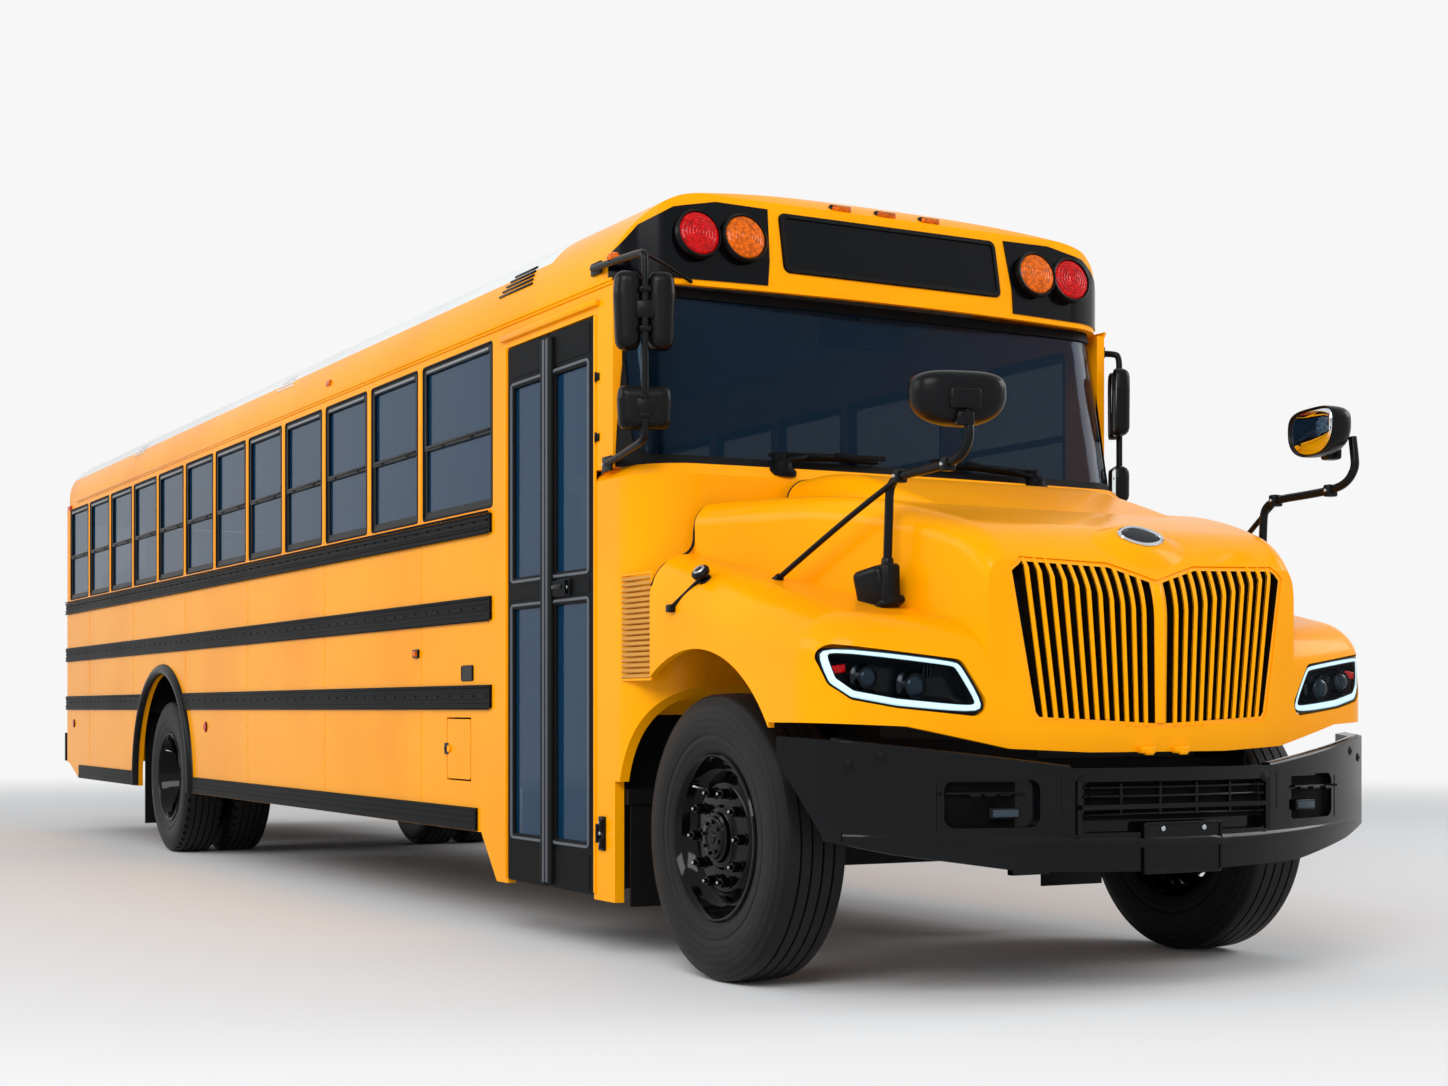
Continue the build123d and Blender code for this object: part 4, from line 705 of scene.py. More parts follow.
for hand, side in SIDES:
    for place, x, y, line, face_at in (
            ("front", side * TRACK, AXLE_F, front_rim_line, 0.088),
            ("rear", side * DUAL_OUT, AXLE_R, rear_rim_line, -0.140)):
        body = ("wheel_front_" if place == "front" else "wheels_rear_") + hand
        plural = "tyre_front_" if place == "front" else "tyres_rear_"
        def at(out, dy=0.0, dz=0.0):
            return (x + side * out, y + dy, TYRE_R + dz)

        form = bmesh.new()
        make_tyre(form, x, y, place == "rear")
        if place == "rear":
            make_tyre(form, side * (DUAL_OUT - 0.325), y, True)
        tyre = shape("tyre_" + place + "_" + hand, body, TYRES[place], form)
        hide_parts(plural + hand)

        form = bmesh.new()
        lathe(form, (x, y, TYRE_R), (side, 0, 0), line, 80)
        rim = shape("rim_" + place + "_" + hand, body, RIM_BLACK, form)
        holes = bmesh.new()
        for k in range(10):
            turn = math.radians(36 * k + 18)
            dy, dz = math.cos(turn), math.sin(turn)
            spot = Vector((x + side * (face_at - 0.02), y + dy * 0.2265, TYRE_R + dz * 0.2265))
            aim = Vector((side, 0, 0)) + Vector((0, dy, dz)) * 0.45
            flat = aim.normalized().to_track_quat("Z", "Y").to_matrix().to_4x4()
            around = Vector((0, -dz, dy))
            spin_to = flat.to_3x3().inverted() @ around
            twist = Matrix.Rotation(math.atan2(spin_to.y, spin_to.x), 4, "Z")
            bmesh.ops.create_cone(
                holes, cap_ends=True, segments=24, radius1=1, radius2=1, depth=1,
                matrix=Matrix.Translation(spot) @ flat @ twist
                @ Matrix.Diagonal((0.024, 0.0125, 0.09, 1)))
        carve(rim, holes)
        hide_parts("rim_" + place + "_" + hand)

        form = bmesh.new()
        for k in range(10):
            turn = math.radians(36 * k)
            dy, dz = math.cos(turn) * 0.167, math.sin(turn) * 0.167
            for a, b, r, tip, sides, soft in (
                    (0.0, 0.005, 0.0235, 0.0225, 24, 0.001),
                    (0.004, 0.034, 0.0190, 0.0180, 6, 0.002),
                    (0.034, 0.038, 0.0165, 0.0150, 20, 0.001)):
                rod(form, at(face_at + a, dy, dz), at(face_at + b, dy, dz), r, tip, sides, soft)
            rod(form, at(face_at + 0.03, dy, dz), at(face_at + 0.050, dy, dz), 0.0100, 0.0085,
                16, 0.0015)
            rod(form, at(face_at + 0.049, dy, dz), at(face_at + 0.0515, dy, dz), 0.0060, 0.0050,
                12, tint=1)
        ring, hub = (0.058, 0.1305) if place == "front" else (0.070, 0.0190)
        for k in range(8):
            turn = math.radians(45 * k + 12)
            dy, dz = math.cos(turn) * ring, math.sin(turn) * ring
            rod(form, at(hub, dy, dz), at(hub + 0.010, dy, dz), 0.0075, 0.0070, 6, 0.001)
        rod(form, at(0.06, 0.19, 0.168), at(0.10, 0.205, 0.178), 0.0045, None, 12, 0.001, tint=1)
        shape("wheel_nuts_" + place + "_" + hand, body, [RIM_BLACK, ZINC], form)


# Headlamps: bezel, white light ring, clear cover, dark bucket and two projectors a side
lamp_points = [(1.232, 1.202), (0.770, 1.146), (0.645, 0.950), (0.985, 0.985),
               (1.130, 1.012), (1.190, 1.062)]


def lamp_rings(side, rows):
    """Rings inside the lamp's outline, laid on its CAD face and set back by each depth."""
    rings = []
    for inset, depth, lift in rows:
        ring = []
        outline = rounded(lamp_points, 0.044, inset, 6)
        for _ in range(5):
            outline = [(outline[k - 1] + outline[k] * 2 + outline[(k + 1) % len(outline)]) / 4
                       for k in range(len(outline))]
        for point in outline:
            point = point + Vector((0, lift))
            spot = None
            way = (Vector((0.97, 1.08)) - point).normalized()
            for pull in (0.0, 0.003, 0.006, 0.010, 0.016, 0.024):
                x, z = point + way * pull
                place, _ = cast("headlamps", (side * x, AXLE_F - 1.6, z), (0, 1, 0))
                if place is not None and place.y < AXLE_F - 0.35:
                    spot = place
                    break
            ring.append(spot + Vector((0, depth, 0)))
        rings.append(ring)
    return rings


for hand, side in SIDES:
    form = bmesh.new()
    skin(form, lamp_rings(side, [(0.0015, 0.050, 0), (0.0015, 0.003, 0), (0.003, 0.0, 0),
                                 (0.0075, 0.0, 0), (0.0085, 0.008, 0)]), False)
    skin(form, lamp_rings(side, [(0.0085, 0.010, 0), (0.009, 0.0055, 0), (0.011, 0.003, 0),
                                 (0.018, 0.0015, 0.002), (0.025, 0.003, 0.004),
                                 (0.027, 0.006, 0.004), (0.0275, 0.012, 0.004)]), False, 1)
    skin(form, lamp_rings(side, [(0.0275, 0.010, 0.004), (0.030, 0.009, 0.004),
                                 (0.032, 0.012, 0.004), (0.035, 0.040, 0.002),
                                 (0.044, 0.066, 0), (0.060, 0.078, 0)]), True, 2)
    shape("headlamp_" + hand, "hood", [ABS, LIGHT_RING, BUCKET], form, 40)
    form = bmesh.new()
    skin(form, lamp_rings(side, [(0.003, 0.0, 0), (0.020, -0.001, 0),
                                 (0.040, -0.0015, 0), (0.062, -0.0015, 0)]))
    cover = shape("headlamp_cover_" + hand, "hood", COVER, form)
    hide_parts("headlamps")
    form = bmesh.new()
    for x, z, r in ((1.060, 1.085, 0.036), (0.905, 1.058, 0.040)):
        face, _ = on_node("headlamps", (side * x, AXLE_F - 1.6, z), (0, 1, 0))
        back = face + Vector((0, 0.070, 0))
        lathe(form, back, (0, -1, 0),
              [(0, r * 1.55), (0.014, r * 1.50), (0.020, r * 1.28), (0.026, r * 1.14),
               (0.040, r * 1.10), (0.043, r * 1.06), (0.043, r * 0.99), (0.030, r * 0.97)], 40)
        lathe(form, back, (0, -1, 0),
              [(0.034, r * 0.98), (0.042, r * 0.86), (0.049, r * 0.55), (0.052, r * 0.22),
               (0.0525, 0)], 40, 1)
        for turn in (50, 130, 230, 310):
            a = math.radians(turn)
            block(form, back + Vector((math.cos(a) * r * 1.38, -0.018, math.sin(a) * r * 1.38)),
                  (r * 0.34, 0.010, r * 0.12), 0.0015, 2, (0, -turn, 0))
    x, z = 1.145, 1.113
    face, _ = on_node("headlamps", (side * x, AXLE_F - 1.6, z), (0, 1, 0))
    block(form, face + Vector((0, 0.045, 0)), (0.052, 0.020, 0.026), 0.004, 3, (0, side * 8, 0),
          2)
    for step in range(7):
        x = 0.80 + step * 0.012
        z = 1.118 - step * 0.0022
        face, _ = on_node("headlamps", (side * x, AXLE_F - 1.6, z), (0, 1, 0))
        block(form, face + Vector((0, 0.055, 0)), (0.005, 0.03, 0.05), 0.001, 1)
    shape("headlamp_optics_" + hand, "hood", [CHROME_DARK, PROJECTOR, LENS_RED], form,
          40)

# Blank badge on a raised boss at the head of the grille
badge_at, badge_out = on_node("hood_shell", (0, AXLE_F - 1.5, 1.95), (0, 1, -0.66))
badge_across = Vector((1, 0, 0))
badge_up = badge_out.cross(badge_across).normalized()
if badge_up.z < 0:
    badge_up = -badge_up


def oval_point(turn, power):
    """A point of a unit oval, squarer with a higher power."""
    u, v = math.cos(turn), math.sin(turn)
    return math.copysign(abs(u) ** (2 / power), u), math.copysign(abs(v) ** (2 / power), v)


def crest(rows, power):
    """Rings round the badge, laid on the hood and raised by each height."""
    rings = []
    for half_w, half_h, drop, height in rows:
        ring = []
        for k in range(CREST_STEPS):
            u, v = oval_point(math.tau * k / CREST_STEPS, power)
            u, v = u * half_w, v * half_h - drop
            start = badge_at + badge_across * u + badge_up * v + badge_out * 0.3
            spot, _ = on_node("hood_shell", start, -badge_out)
            flat = badge_at + badge_across * u + badge_up * v
            rise = max(height, (spot - flat).dot(badge_out) + 0.001)
            ring.append(flat + badge_out * rise if height > 0 else spot)
        rings.append(ring)
    return rings


form = bmesh.new()
skin(form, crest([(0.200, 0.116, 0.008, 0), (0.152, 0.094, 0.006, 0.008),
                  (0.122, 0.076, 0.002, 0.022), (0.108, 0.066, 0, 0.026)], power=1.9))
shape("badge_boss", "hood", YELLOW, form)
form = bmesh.new()
skin(form, crest([(0.098, 0.056, 0, 0.024), (0.100, 0.058, 0, 0.031), (0.094, 0.052, 0, 0.036),
                  (0.086, 0.045, 0, 0.034), (0.084, 0.044, 0, 0.0295)], power=1.75), False)
skin(form, crest([(0.085, 0.0445, 0, 0.0290), (0.060, 0.032, 0, 0.0305),
                  (0.030, 0.016, 0, 0.0312)], power=1.75), True, 1)
shape("badge_blank", "hood", [CHROME, BADGE], form)

# Hood: round latches with their straps, and grip tabs at the grille's foot
for hand, side in SIDES:
    form = bmesh.new()
    spot, out = on_node("hood_shell", (side * 1.5, AXLE_F + 0.075, 1.452), (-side, 0, 0))
    rod(form, spot - out * 0.004, spot + out * 0.008, 0.026, 0.024, 24, 0.003)
    rod(form, spot + out * 0.008, spot + out * 0.030, 0.009, None, 16, 0.002)
    lathe(form, spot + out * 0.020, out, [(0, 0.020), (0.004, 0.033), (0.018, 0.036),
                                          (0.026, 0.031), (0.030, 0.018), (0.031, 0)], 28)
    lathe(form, spot + out * 0.048, out, [(0, 0.024), (0.004, 0.021), (0.004, 0.015),
                                          (0, 0.013)], 28, 1)
    low, out2 = on_node("hood_shell", (side * 1.5, AXLE_F + 0.215, 1.352), (-side, 0, 0))
    rod(form, spot + out * 0.016, low + out2 * 0.012, 0.0075, None, 14, 0.002)
    block(form, low + out2 * 0.010, (0.026, 0.040, 0.030), 0.006, 3)
    shape("hood_latch_" + hand, "hood", [ABS, ZINC], form)

form = bmesh.new()
for side in (-1, 1):
    block(form, (side * 0.075, AXLE_F - 1.052, 0.842), (0.060, 0.030, 0.024), 0.006, 3)
    block(form, (side * 0.075, AXLE_F - 1.064, 0.832), (0.030, 0.020, 0.014), 0.004, 2)
shape("hood_grip_tabs", "hood", YELLOW, form)

# Cross-view mirrors: foot, bent tube, brace and a domed head with a convex glass
for hand, side, turn, head_x, head_y in (
        ("kerb", -1, -15, -0.850, 1.045), ("driver", 1, 75, 0.800, 0.985)):
    x = side * 0.850
    foot = pipe("cross_mirror_tube_" + hand, "hood", ABS,
                from_axle((x, y, z) for y, z in (
                    (-0.620, 1.380), (-0.624, 1.480), (-0.634, 1.660), (-0.638, 1.745),
                    (-0.700, 1.772), (-0.860, 1.776), (-0.980, 1.782), (-1.060, 1.800),
                    (-1.102, 1.850), (-1.098, 1.900), (-1.088, 1.965))), 0.0155)
    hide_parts("cross_mirrors")
    pipe("cross_mirror_brace_" + hand, "hood", ABS,
         from_axle([(x, -0.700, 1.764), (x + side * 0.03, -0.58, 1.708),
                    (side * 0.97, -0.240, 1.512), (side * 1.000, -0.120, 1.440)]), 0.0105)
    form = bmesh.new()
    base, _ = on_node("hood_shell", (x, AXLE_F - 0.620, 1.9), (0, 0, -1))
    block(form, (x, AXLE_F - 0.612, base.z - 0.004), (0.100, 0.130, 0.030), 0.012, 4,
          (-22, side * 12, 0))
    block(form, (x + side * 0.022, AXLE_F - 0.570, base.z + 0.060), (0.064, 0.140, 0.150),
          0.026, 5, (-10, side * 6, side * -12))
    block(form, (x, AXLE_F - 0.630, base.z + 0.070), (0.064, 0.070, 0.150), 0.016, 4,
          (-2, 0, 0))
    rod(form, (x, AXLE_F - 0.622, base.z + 0.12), (x, AXLE_F - 0.625, base.z + 0.165),
        0.024, 0.020, 24, 0.003)
    end = Vector((side * 0.995, AXLE_F - 0.150, 1.455))
    rod(form, end, end + Vector((side * 0.014, 0.075, -0.040)), 0.017, 0.019, 20, 0.003)
    for y, z in ((-0.700, 1.769), (-0.980, 1.781)):
        block(form, (x, AXLE_F + y, z), (0.044, 0.034, 0.044), 0.006, 3)
        rod(form, (x - 0.03, AXLE_F + y, z), (x + 0.03, AXLE_F + y, z), 0.006, None, 12,
            0.001, tint=1)
    shape("cross_mirror_fittings_" + hand, "hood", [ABS, ZINC], form)

    form = bmesh.new()
    place = Matrix.Translation((head_x, AXLE_F - head_y, 1.990)) @ turned((0, 0, turn))
    shell = [(0.92, 0.040), (0.955, 0.047), (0.985, 0.046), (1.0, 0.040), (1.0, 0.016),
             (0.985, -0.002), (0.95, -0.020), (0.87, -0.037), (0.73, -0.049), (0.52, -0.056),
             (0.25, -0.059), (0.08, -0.0595)]
    glass = [(0.92, 0.040), (0.88, 0.043), (0.70, 0.0495), (0.45, 0.0545), (0.15, 0.057)]

    def oval(scale, y):
        ring = []
        for k in range(56):
            a = math.tau * k / 56
            upper = math.sin(a) > 0
            u, v = oval_point(a, 3.4 if upper else 2.3)
            ring.append(place @ Vector((u * 0.163 * scale, y,
                                        v * (0.074 if upper else 0.104) * scale + 0.014)))
        return ring

    skin(form, [oval(s, y) for s, y in shell])
    skin(form, [oval(s, y) for s, y in glass], True, 1)
    grip = place @ Vector((0, -0.052, -0.010))
    block(form, grip, (0.110, 0.034, 0.070), 0.012, 4, (0, 0, turn))
    block(form, place @ Vector((0, -0.040, -0.074)), (0.060, 0.060, 0.050), 0.012, 4,
          (0, 0, turn))
    shape("cross_mirror_head_" + hand, "hood", [ABS, MIRROR], form, 40)

# Front bumper: lamps in their pockets, round pads, the blank plate's frame and intake slats, with
# near-black sheets behind the slats as painted shadow in the recesses
form = bmesh.new()
for side in (-1, 1):
    spot, _ = on_node("bumper_front", (side * 0.705 - side * 0.08, AXLE_F - 1.6, 0.671),
                      (0, 1, 0))
    y = spot.y
    block(form, (side * 0.665, y - 0.010, 0.640), (0.110, 0.020, 0.038), 0.006, 3,
          (0, 0, side * 9), 0)
    block(form, (side * 0.665, y - 0.021, 0.640), (0.094, 0.005, 0.024), 0.002, 2,
          (0, 0, side * 9), 1)
    for k in range(4):
        block(form, (side * (0.60 + 0.06 * k), y - 0.008, 0.700), (0.040, 0.020, 0.008),
              0.002, 1, (0, 0, side * 9))
    for x, z in ((1.045, 0.826), (1.140, 0.800), (0.40, 0.745)):
        spot, out = on_node("bumper_front", (side * x, AXLE_F - 1.7, z), (0, 1, 0))
        rod(form, spot - out * 0.002, spot + out * 0.004, 0.017, 0.0155, 28, 0.0015)
        rod(form, spot + out * 0.003, spot + out * 0.006, 0.009, 0.008, 20, 0.001, tint=2)
shape("bumper_lamps", "chassis", [ABS, LENS_CLEAR, RUBBER], form)
form = bmesh.new()
face, _ = on_node("bumper_front", (0.1, AXLE_F - 1.7, 0.515), (0, 1, 0))
ring_frame(form, box_outline(-0.172, 0.172, 0.428, 0.602), on_front(face.y), 0.010, 0.006,
           0.014, 0.002)
for x in (-0.090, 0.090):
    rod(form, (x, face.y, 0.580), (x, face.y - 0.006, 0.580), 0.010, 0.009, 20, 0.0015, tint=1)
shape("plate_holder", "chassis", [ABS, ZINC], form)
form = bmesh.new()
for low_x, high_x, low_z, high_z, count in ((-0.398, 0.398, 0.610, 0.748, 20),
                                            (-0.885, -0.615, 0.588, 0.742, 7),
                                            (0.615, 0.885, 0.588, 0.742, 7)):
    step = (high_x - low_x) / count
    centre = low_x > -0.5 and high_x < 0.5
    for row, high in enumerate((0.630, 0.690, 0.720) if centre else (0.705,)):
        spots = []
        for k in range(count + 1):
            spots.append(cast("bumper_front", (low_x + k * step, AXLE_F - 1.5, 0.700),
                              (0, 1, 0))[0])
        # Near-black sheet behind each set of slats: painted shadow that stands for the depth of
        # the recess.
        if row == 0:
            panel = []
            for spot in spots:
                panel.append([Vector((spot.x, spot.y + back, z)) for back, z in (
                    (-0.002, low_z), (-0.002, high_z), (0.001, high_z), (0.001, low_z))])
            skin(form, panel, False, 0)
        for one, two in zip(spots, spots[1:]):
            rod(form, (one.x, one.y - 0.012, high), (two.x, two.y - 0.012, high), 0.005, None, 8,
                tint=1)
    if centre:
        for x in (-0.24, -0.08, 0.08, 0.24):
            spot, _ = cast("bumper_front", (x, AXLE_F - 1.5, 0.700), (0, 1, 0))
            block(form, (x, spot.y - 0.010, 0.680), (0.010, 0.016, 0.110), 0.002, 2, tint=1)
shape("bumper_recess_slats", "chassis", [RECESS_SHADOW_SHEET, ABS], form)

# Grille: a rounded crown on every bar, laid on the CAD bars' faces
form = bmesh.new()
for side in (-1, 1):
    for i in range(11):
        top = 0.075 + i * 0.047
        rings = []
        for k in range(25):
            z = 0.925 + 0.0235 * k
            x = top * (1 - 0.155 * (1.5 - z) / 0.6)
            middle, _ = cast("grille", (side * x, AXLE_F - 1.4, z), (0, 1, 0))
            if middle is None or not AXLE_F - 1.2 < middle.y < AXLE_F - 0.85:
                continue
            ring = []
            for u, h in ((-0.0086, -0.004), (-0.0082, 0.0005), (-0.0045, 0.0055),
                         (0.0, 0.0075), (0.0045, 0.0055), (0.0082, 0.0005), (0.0086, -0.004)):
                ring.append(middle + Vector((u, -h, 0)))
            rings.append(ring)
        skin(form, rings)
close_ends(form)
rings = []
for k in range(21):
    z = 0.935 + 0.0238 * k
    half = 0.0235 + 0.004 * (z - 0.9) / 0.5
    middle, _ = cast("grille", (0, AXLE_F - 1.4, z), (0, 1, 0))
    if middle is None:
        continue
    rings.append([middle + Vector((u * half, -h, 0)) for u, h in (
        (-1.0, -0.004), (-0.96, 0.001), (-0.62, 0.006), (-0.30, 0.010), (0.0, 0.0115),
        (0.30, 0.010), (0.62, 0.006), (0.96, 0.001), (1.0, -0.004))])
skin(form, rings)
close_ends(form)
shape("grille_bar_crowns", "hood", YELLOW, form, 60)

# Front bumper: rolled top edge and a lower lip that follow its bowed face
form = bmesh.new()
LIP_Z, LIP_OUT, LIP_TALL = 0.548, 0.010, 0.030
rings = []
for k in range(61):
    x = -1.16 + 2.32 * k / 60
    z = LIP_Z + 0.030 * (abs(x) / 1.16) ** 2
    face, _ = cast("bumper_front", (x, AXLE_F - 1.6, z), (0, 1, 0))
    if face is not None:
        rings.append([face + Vector((0, back, rise)) for back, rise in (
            (0.006, -LIP_TALL), (-LIP_OUT * 0.7, -LIP_TALL), (-LIP_OUT, -LIP_TALL * 0.55),
            (-LIP_OUT * 0.8, -0.004), (0.006, LIP_TALL * 0.3))])
for start in range(len(rings) - 1):
    if abs(rings[start][0].y - rings[start + 1][0].y) > 0.05:
        rings = rings[:start + 1]
        break
skin(form, rings)
close_ends(form)
for side in (-1, 1):
    rings = []
    for k in range(29):
        x = side * (0.44 + 0.026 * k)
        face, _ = cast("bumper_front", (x, AXLE_F - 1.6, 0.700 if k < 4 else 0.770), (0, 1, 0))
        if face is None:
            break
        top, _ = cast("bumper_front", (x, face.y + 0.010, 1.4), (0, 0, -1))
        if top is None or (rings and abs(top.z - rings[-1][0].z) > 0.03):
            break
        rings.append([Vector((x, face.y + back, top.z + rise)) for back, rise in (
            (0.002, -0.004), (0.004, 0.005), (0.012, 0.010), (0.040, 0.010), (0.052, 0.003),
            (0.054, -0.040), (0.048, -0.040), (0.040, -0.010))])
    skin(form, rings)
    close_ends(form)
shape("bumper_lip", "chassis", BLACK_GLOSS, form, 50)

# Cowl sides: a louvred panel in its frame on the kerb side, plain slats on the driver's side
for hand, side in SIDES:
    form = bmesh.new()
    flat = on_side(side, side * 1.2145)
    if side < 0:
        ring_frame(form, box_outline(AXLE_F + 0.425, AXLE_F + 0.695, 1.090, 1.505), flat, 0.010,
                   0.006, 0.014, 0.002)
        for k in range(19):
            z = 1.108 + 0.0208 * k
            block(form, (side * 1.2150, AXLE_F + 0.560, z), (0.012, 0.246, 0.0160), 0.004, 2,
                  (0, side * -24, 0), 1)
        shape("cowl_louvres_" + hand, "chassis", [YELLOW, LOUVRE], form)
    else:
        for k in range(9):
            z = 1.150 + 0.030 * k
            block(form, (side * 1.2155, AXLE_F + 0.600, z), (0.010, 0.160, 0.012), 0.003, 2,
                  (0, side * -24, 0))
        shape("cowl_louvres_" + hand, "chassis", YELLOW, form)

# Dark seal round the hood's back edge
route = []
for k in range(65):
    a = math.radians(9 + 162 * k / 64)
    way = Vector((math.cos(a), 0, math.sin(a)))
    spot, _ = cast("hood_shell", Vector((0, AXLE_F + 0.399, 1.25)) + way * 2.2, -way)
    if spot is not None:
        route.append(spot + Vector((0, 0.006, 0)))
pipe("hood_edge_seal", "hood", RUBBER, route, 0.0055)

# Wiper boots, sprung arms and blades at the foot of the windscreen
form = bmesh.new()
for side in (-1, 1):
    x = side * 0.620
    lathe(form, (x, AXLE_F + 0.480, 1.905), (0, -0.25, 1),
          [(0, 0.060), (0.018, 0.058), (0.034, 0.040), (0.052, 0.034), (0.060, 0.022),
           (0.063, 0)], 32)
    arm = [Vector((x, AXLE_F + 0.478, 1.955)), Vector((x - side * 0.13, AXLE_F + 0.500, 1.985)),
           Vector((x - side * 0.30, AXLE_F + 0.515, 1.992))]
    for one, two in zip(arm, arm[1:]):
        rod(form, one, two, 0.013, 0.010, 16, 0.003)
    block(form, (x - side * 0.24, AXLE_F + 0.512, 1.992), (0.54, 0.010, 0.022), 0.004, 3,
          (0, side * 1.5, 0))
    block(form, (x - side * 0.30, AXLE_F + 0.508, 1.996), (0.070, 0.022, 0.026), 0.006, 3)
shape("wiper_arms", "chassis", BLACK_SATIN, form)


# Side windows: gaskets, sliding upper sashes with finger latches, and the folded posts
kerb_windows = [(AXLE_F + 1.975, 0.870)]
kerb_windows += [(AXLE_F + 2.907 + WINDOW_PITCH * i, 0.673) for i in range(ROWS)]
driver_windows = [(AXLE_F + 0.990, 0.820)] + kerb_windows
RAIL_Z = SILL_Z + 0.47 * WINDOW_TALL

for hand, side, windows in (("kerb", -1, kerb_windows), ("driver", 1, driver_windows)):
    form = bmesh.new()
    for start, width in windows:
        outline = box_outline(start, start + width, SILL_Z, WINDOW_TOP)
        ring_frame(form, outline, on_side(side, side * (BODY_HALF - 0.006)), 0.011, 0.008,
                   0.025, 0.002)
        lower = box_outline(start + 0.020, start + width - 0.020, 1.895, RAIL_Z + 0.012)
        ring_frame(form, lower, on_side(side, side * (BODY_HALF - 0.016)), 0.024, 0.010, 0.012,
                   0.002, 1)
        upper = box_outline(start + 0.016, start + width - 0.016, RAIL_Z - 0.014, 2.599)
        ring_frame(form, upper, on_side(side, side * (BODY_HALF - 0.010)), 0.026, 0.008, 0.012,
                   0.002, 1)
        middle = start + width / 2
        block(form, (side * (BODY_HALF - 0.001), middle, RAIL_Z + 0.004),
              (0.007, width - 0.09, 0.010), 0.002, 2, tint=1)
        for dy in (-0.18, 0.18):
            block(form, (side * (BODY_HALF - 0.0005), middle + dy, RAIL_Z - 0.006),
                  (0.006, 0.030, 0.010), 0.002, 2)
        block(form, (side * (BODY_HALF - 0.001), middle, 2.585), (0.005, width - 0.11, 0.012),
              0.002, 2, tint=2)
    shape("window_trim_" + hand, "chassis", [RUBBER, SASH, SASH_LIGHT], form)

    form = bmesh.new()
    posts = [w[0] for w in windows[1:]] + [windows[-1][0] + windows[-1][1] + 0.062]
    for y in posts:
        block(form, (side * (BODY_HALF + 0.0005), y - 0.031, 2.245), (0.006, 0.030, 0.730),
              0.0025, 2)
    block(form, (side * (BODY_HALF + 0.003), (windows[0][0] + BODY_REAR) / 2, 1.863),
          (0.012, BODY_REAR - windows[0][0] - 0.06, 0.012), 0.003, 2)
    end = BODY_REAR - 0.44
    first = AXLE_F + 0.76
    for z, out, tall in ((2.664, 0.012, 0.013), (2.657, 0.006, 0.022)):
        block(form, (side * (BODY_HALF + out / 2), (first + end) / 2, z),
              (out + 0.002, end - first, tall), 0.003, 2)
    shape("side_folds_" + hand, "chassis", YELLOW, form)

    # Rivet rows along the rails and the panel seams
    form = bmesh.new()
    start = AXLE_F + (1.995 if side < 0 else 0.96)
    for z in RAILS_Z:
        y = start + 0.03
        while y < BODY_REAR - 0.07:
            if z > 1.2 or abs(y - AXLE_R) > 0.60:
                pin(form, side * (BODY_HALF + 0.012), side * (BODY_HALF + 0.0175), y, z + 0.012,
                    0.0065, 0.0045, 8)
            y += 0.147
    shape("rail_rivets_" + hand, "chassis", BLACK_SATIN, form)
    form = bmesh.new()
    for z in RAILS_Z:
        spans = [(start + 0.008, BODY_REAR - 0.02)]
        if z < 1.2:
            spans = [(start + 0.008, AXLE_R - 0.585), (AXLE_R + 0.585, BODY_REAR - 0.02)]
        for low, high in spans:
            middle = (low + high) / 2
            spot, _ = cast("rub_rails", (side * 2, middle, z), (-side, 0, 0))
            for dz, tall in ((-0.045, 0.010), (-0.022, 0.008), (0.036, 0.008), (0.050, 0.010)):
                block(form, (spot.x, middle, z + dz), (0.008, high - low, tall), 0.0034, 3)
    shape("rail_beads_" + hand, "chassis", BLACK_SATIN, form)
    form = bmesh.new()
    seam = AXLE_F + 2.907 - 0.031
    while seam < BODY_REAR - 0.3:
        for low, high in ((1.100, 1.372), (1.493, 1.758), (0.548, 0.980)):
            if low > 0.6 or abs(seam - AXLE_R) > 0.86:
                block(form, (side * (BODY_HALF + 0.0002), seam, (low + high) / 2),
                      (0.0025, 0.030, high - low), 0.0008, 1)
                for dy in (-0.007, 0.007):
                    z = low + 0.02
                    while z < high:
                        pin(form, side * (BODY_HALF + 0.001), side * (BODY_HALF + 0.0032),
                            seam + dy, z, 0.0036, 0.0022, 6)
                        z += 0.062
        seam += 1.470
    shape("panel_seams_" + hand, "chassis", YELLOW, form)

    # Rubber flare round the rear arch
    form = bmesh.new()
    section = [(-0.004, 0.733), (0.018, 0.735), (0.030, 0.744), (0.036, 0.758),
               (0.034, 0.774), (0.024, 0.792), (0.010, 0.803), (-0.002, 0.806)]
    lean = math.radians(4)
    line = [form.verts.new((side * (BODY_HALF + a), AXLE_R + r * math.cos(lean),
                            ARCH_Z - r * math.sin(lean))) for a, r in section]
    edges = [form.edges.new(pair) for pair in zip(line, line[1:] + line[:1])]
    bmesh.ops.spin(form, geom=line + edges, cent=(0, AXLE_R, ARCH_Z), axis=(1, 0, 0),
                   angle=math.pi + 2 * lean, steps=64, use_merge=False, use_duplicate=False)
    close_ends(form)
    shape("arch_flare_" + hand, "chassis", FLARE, form)

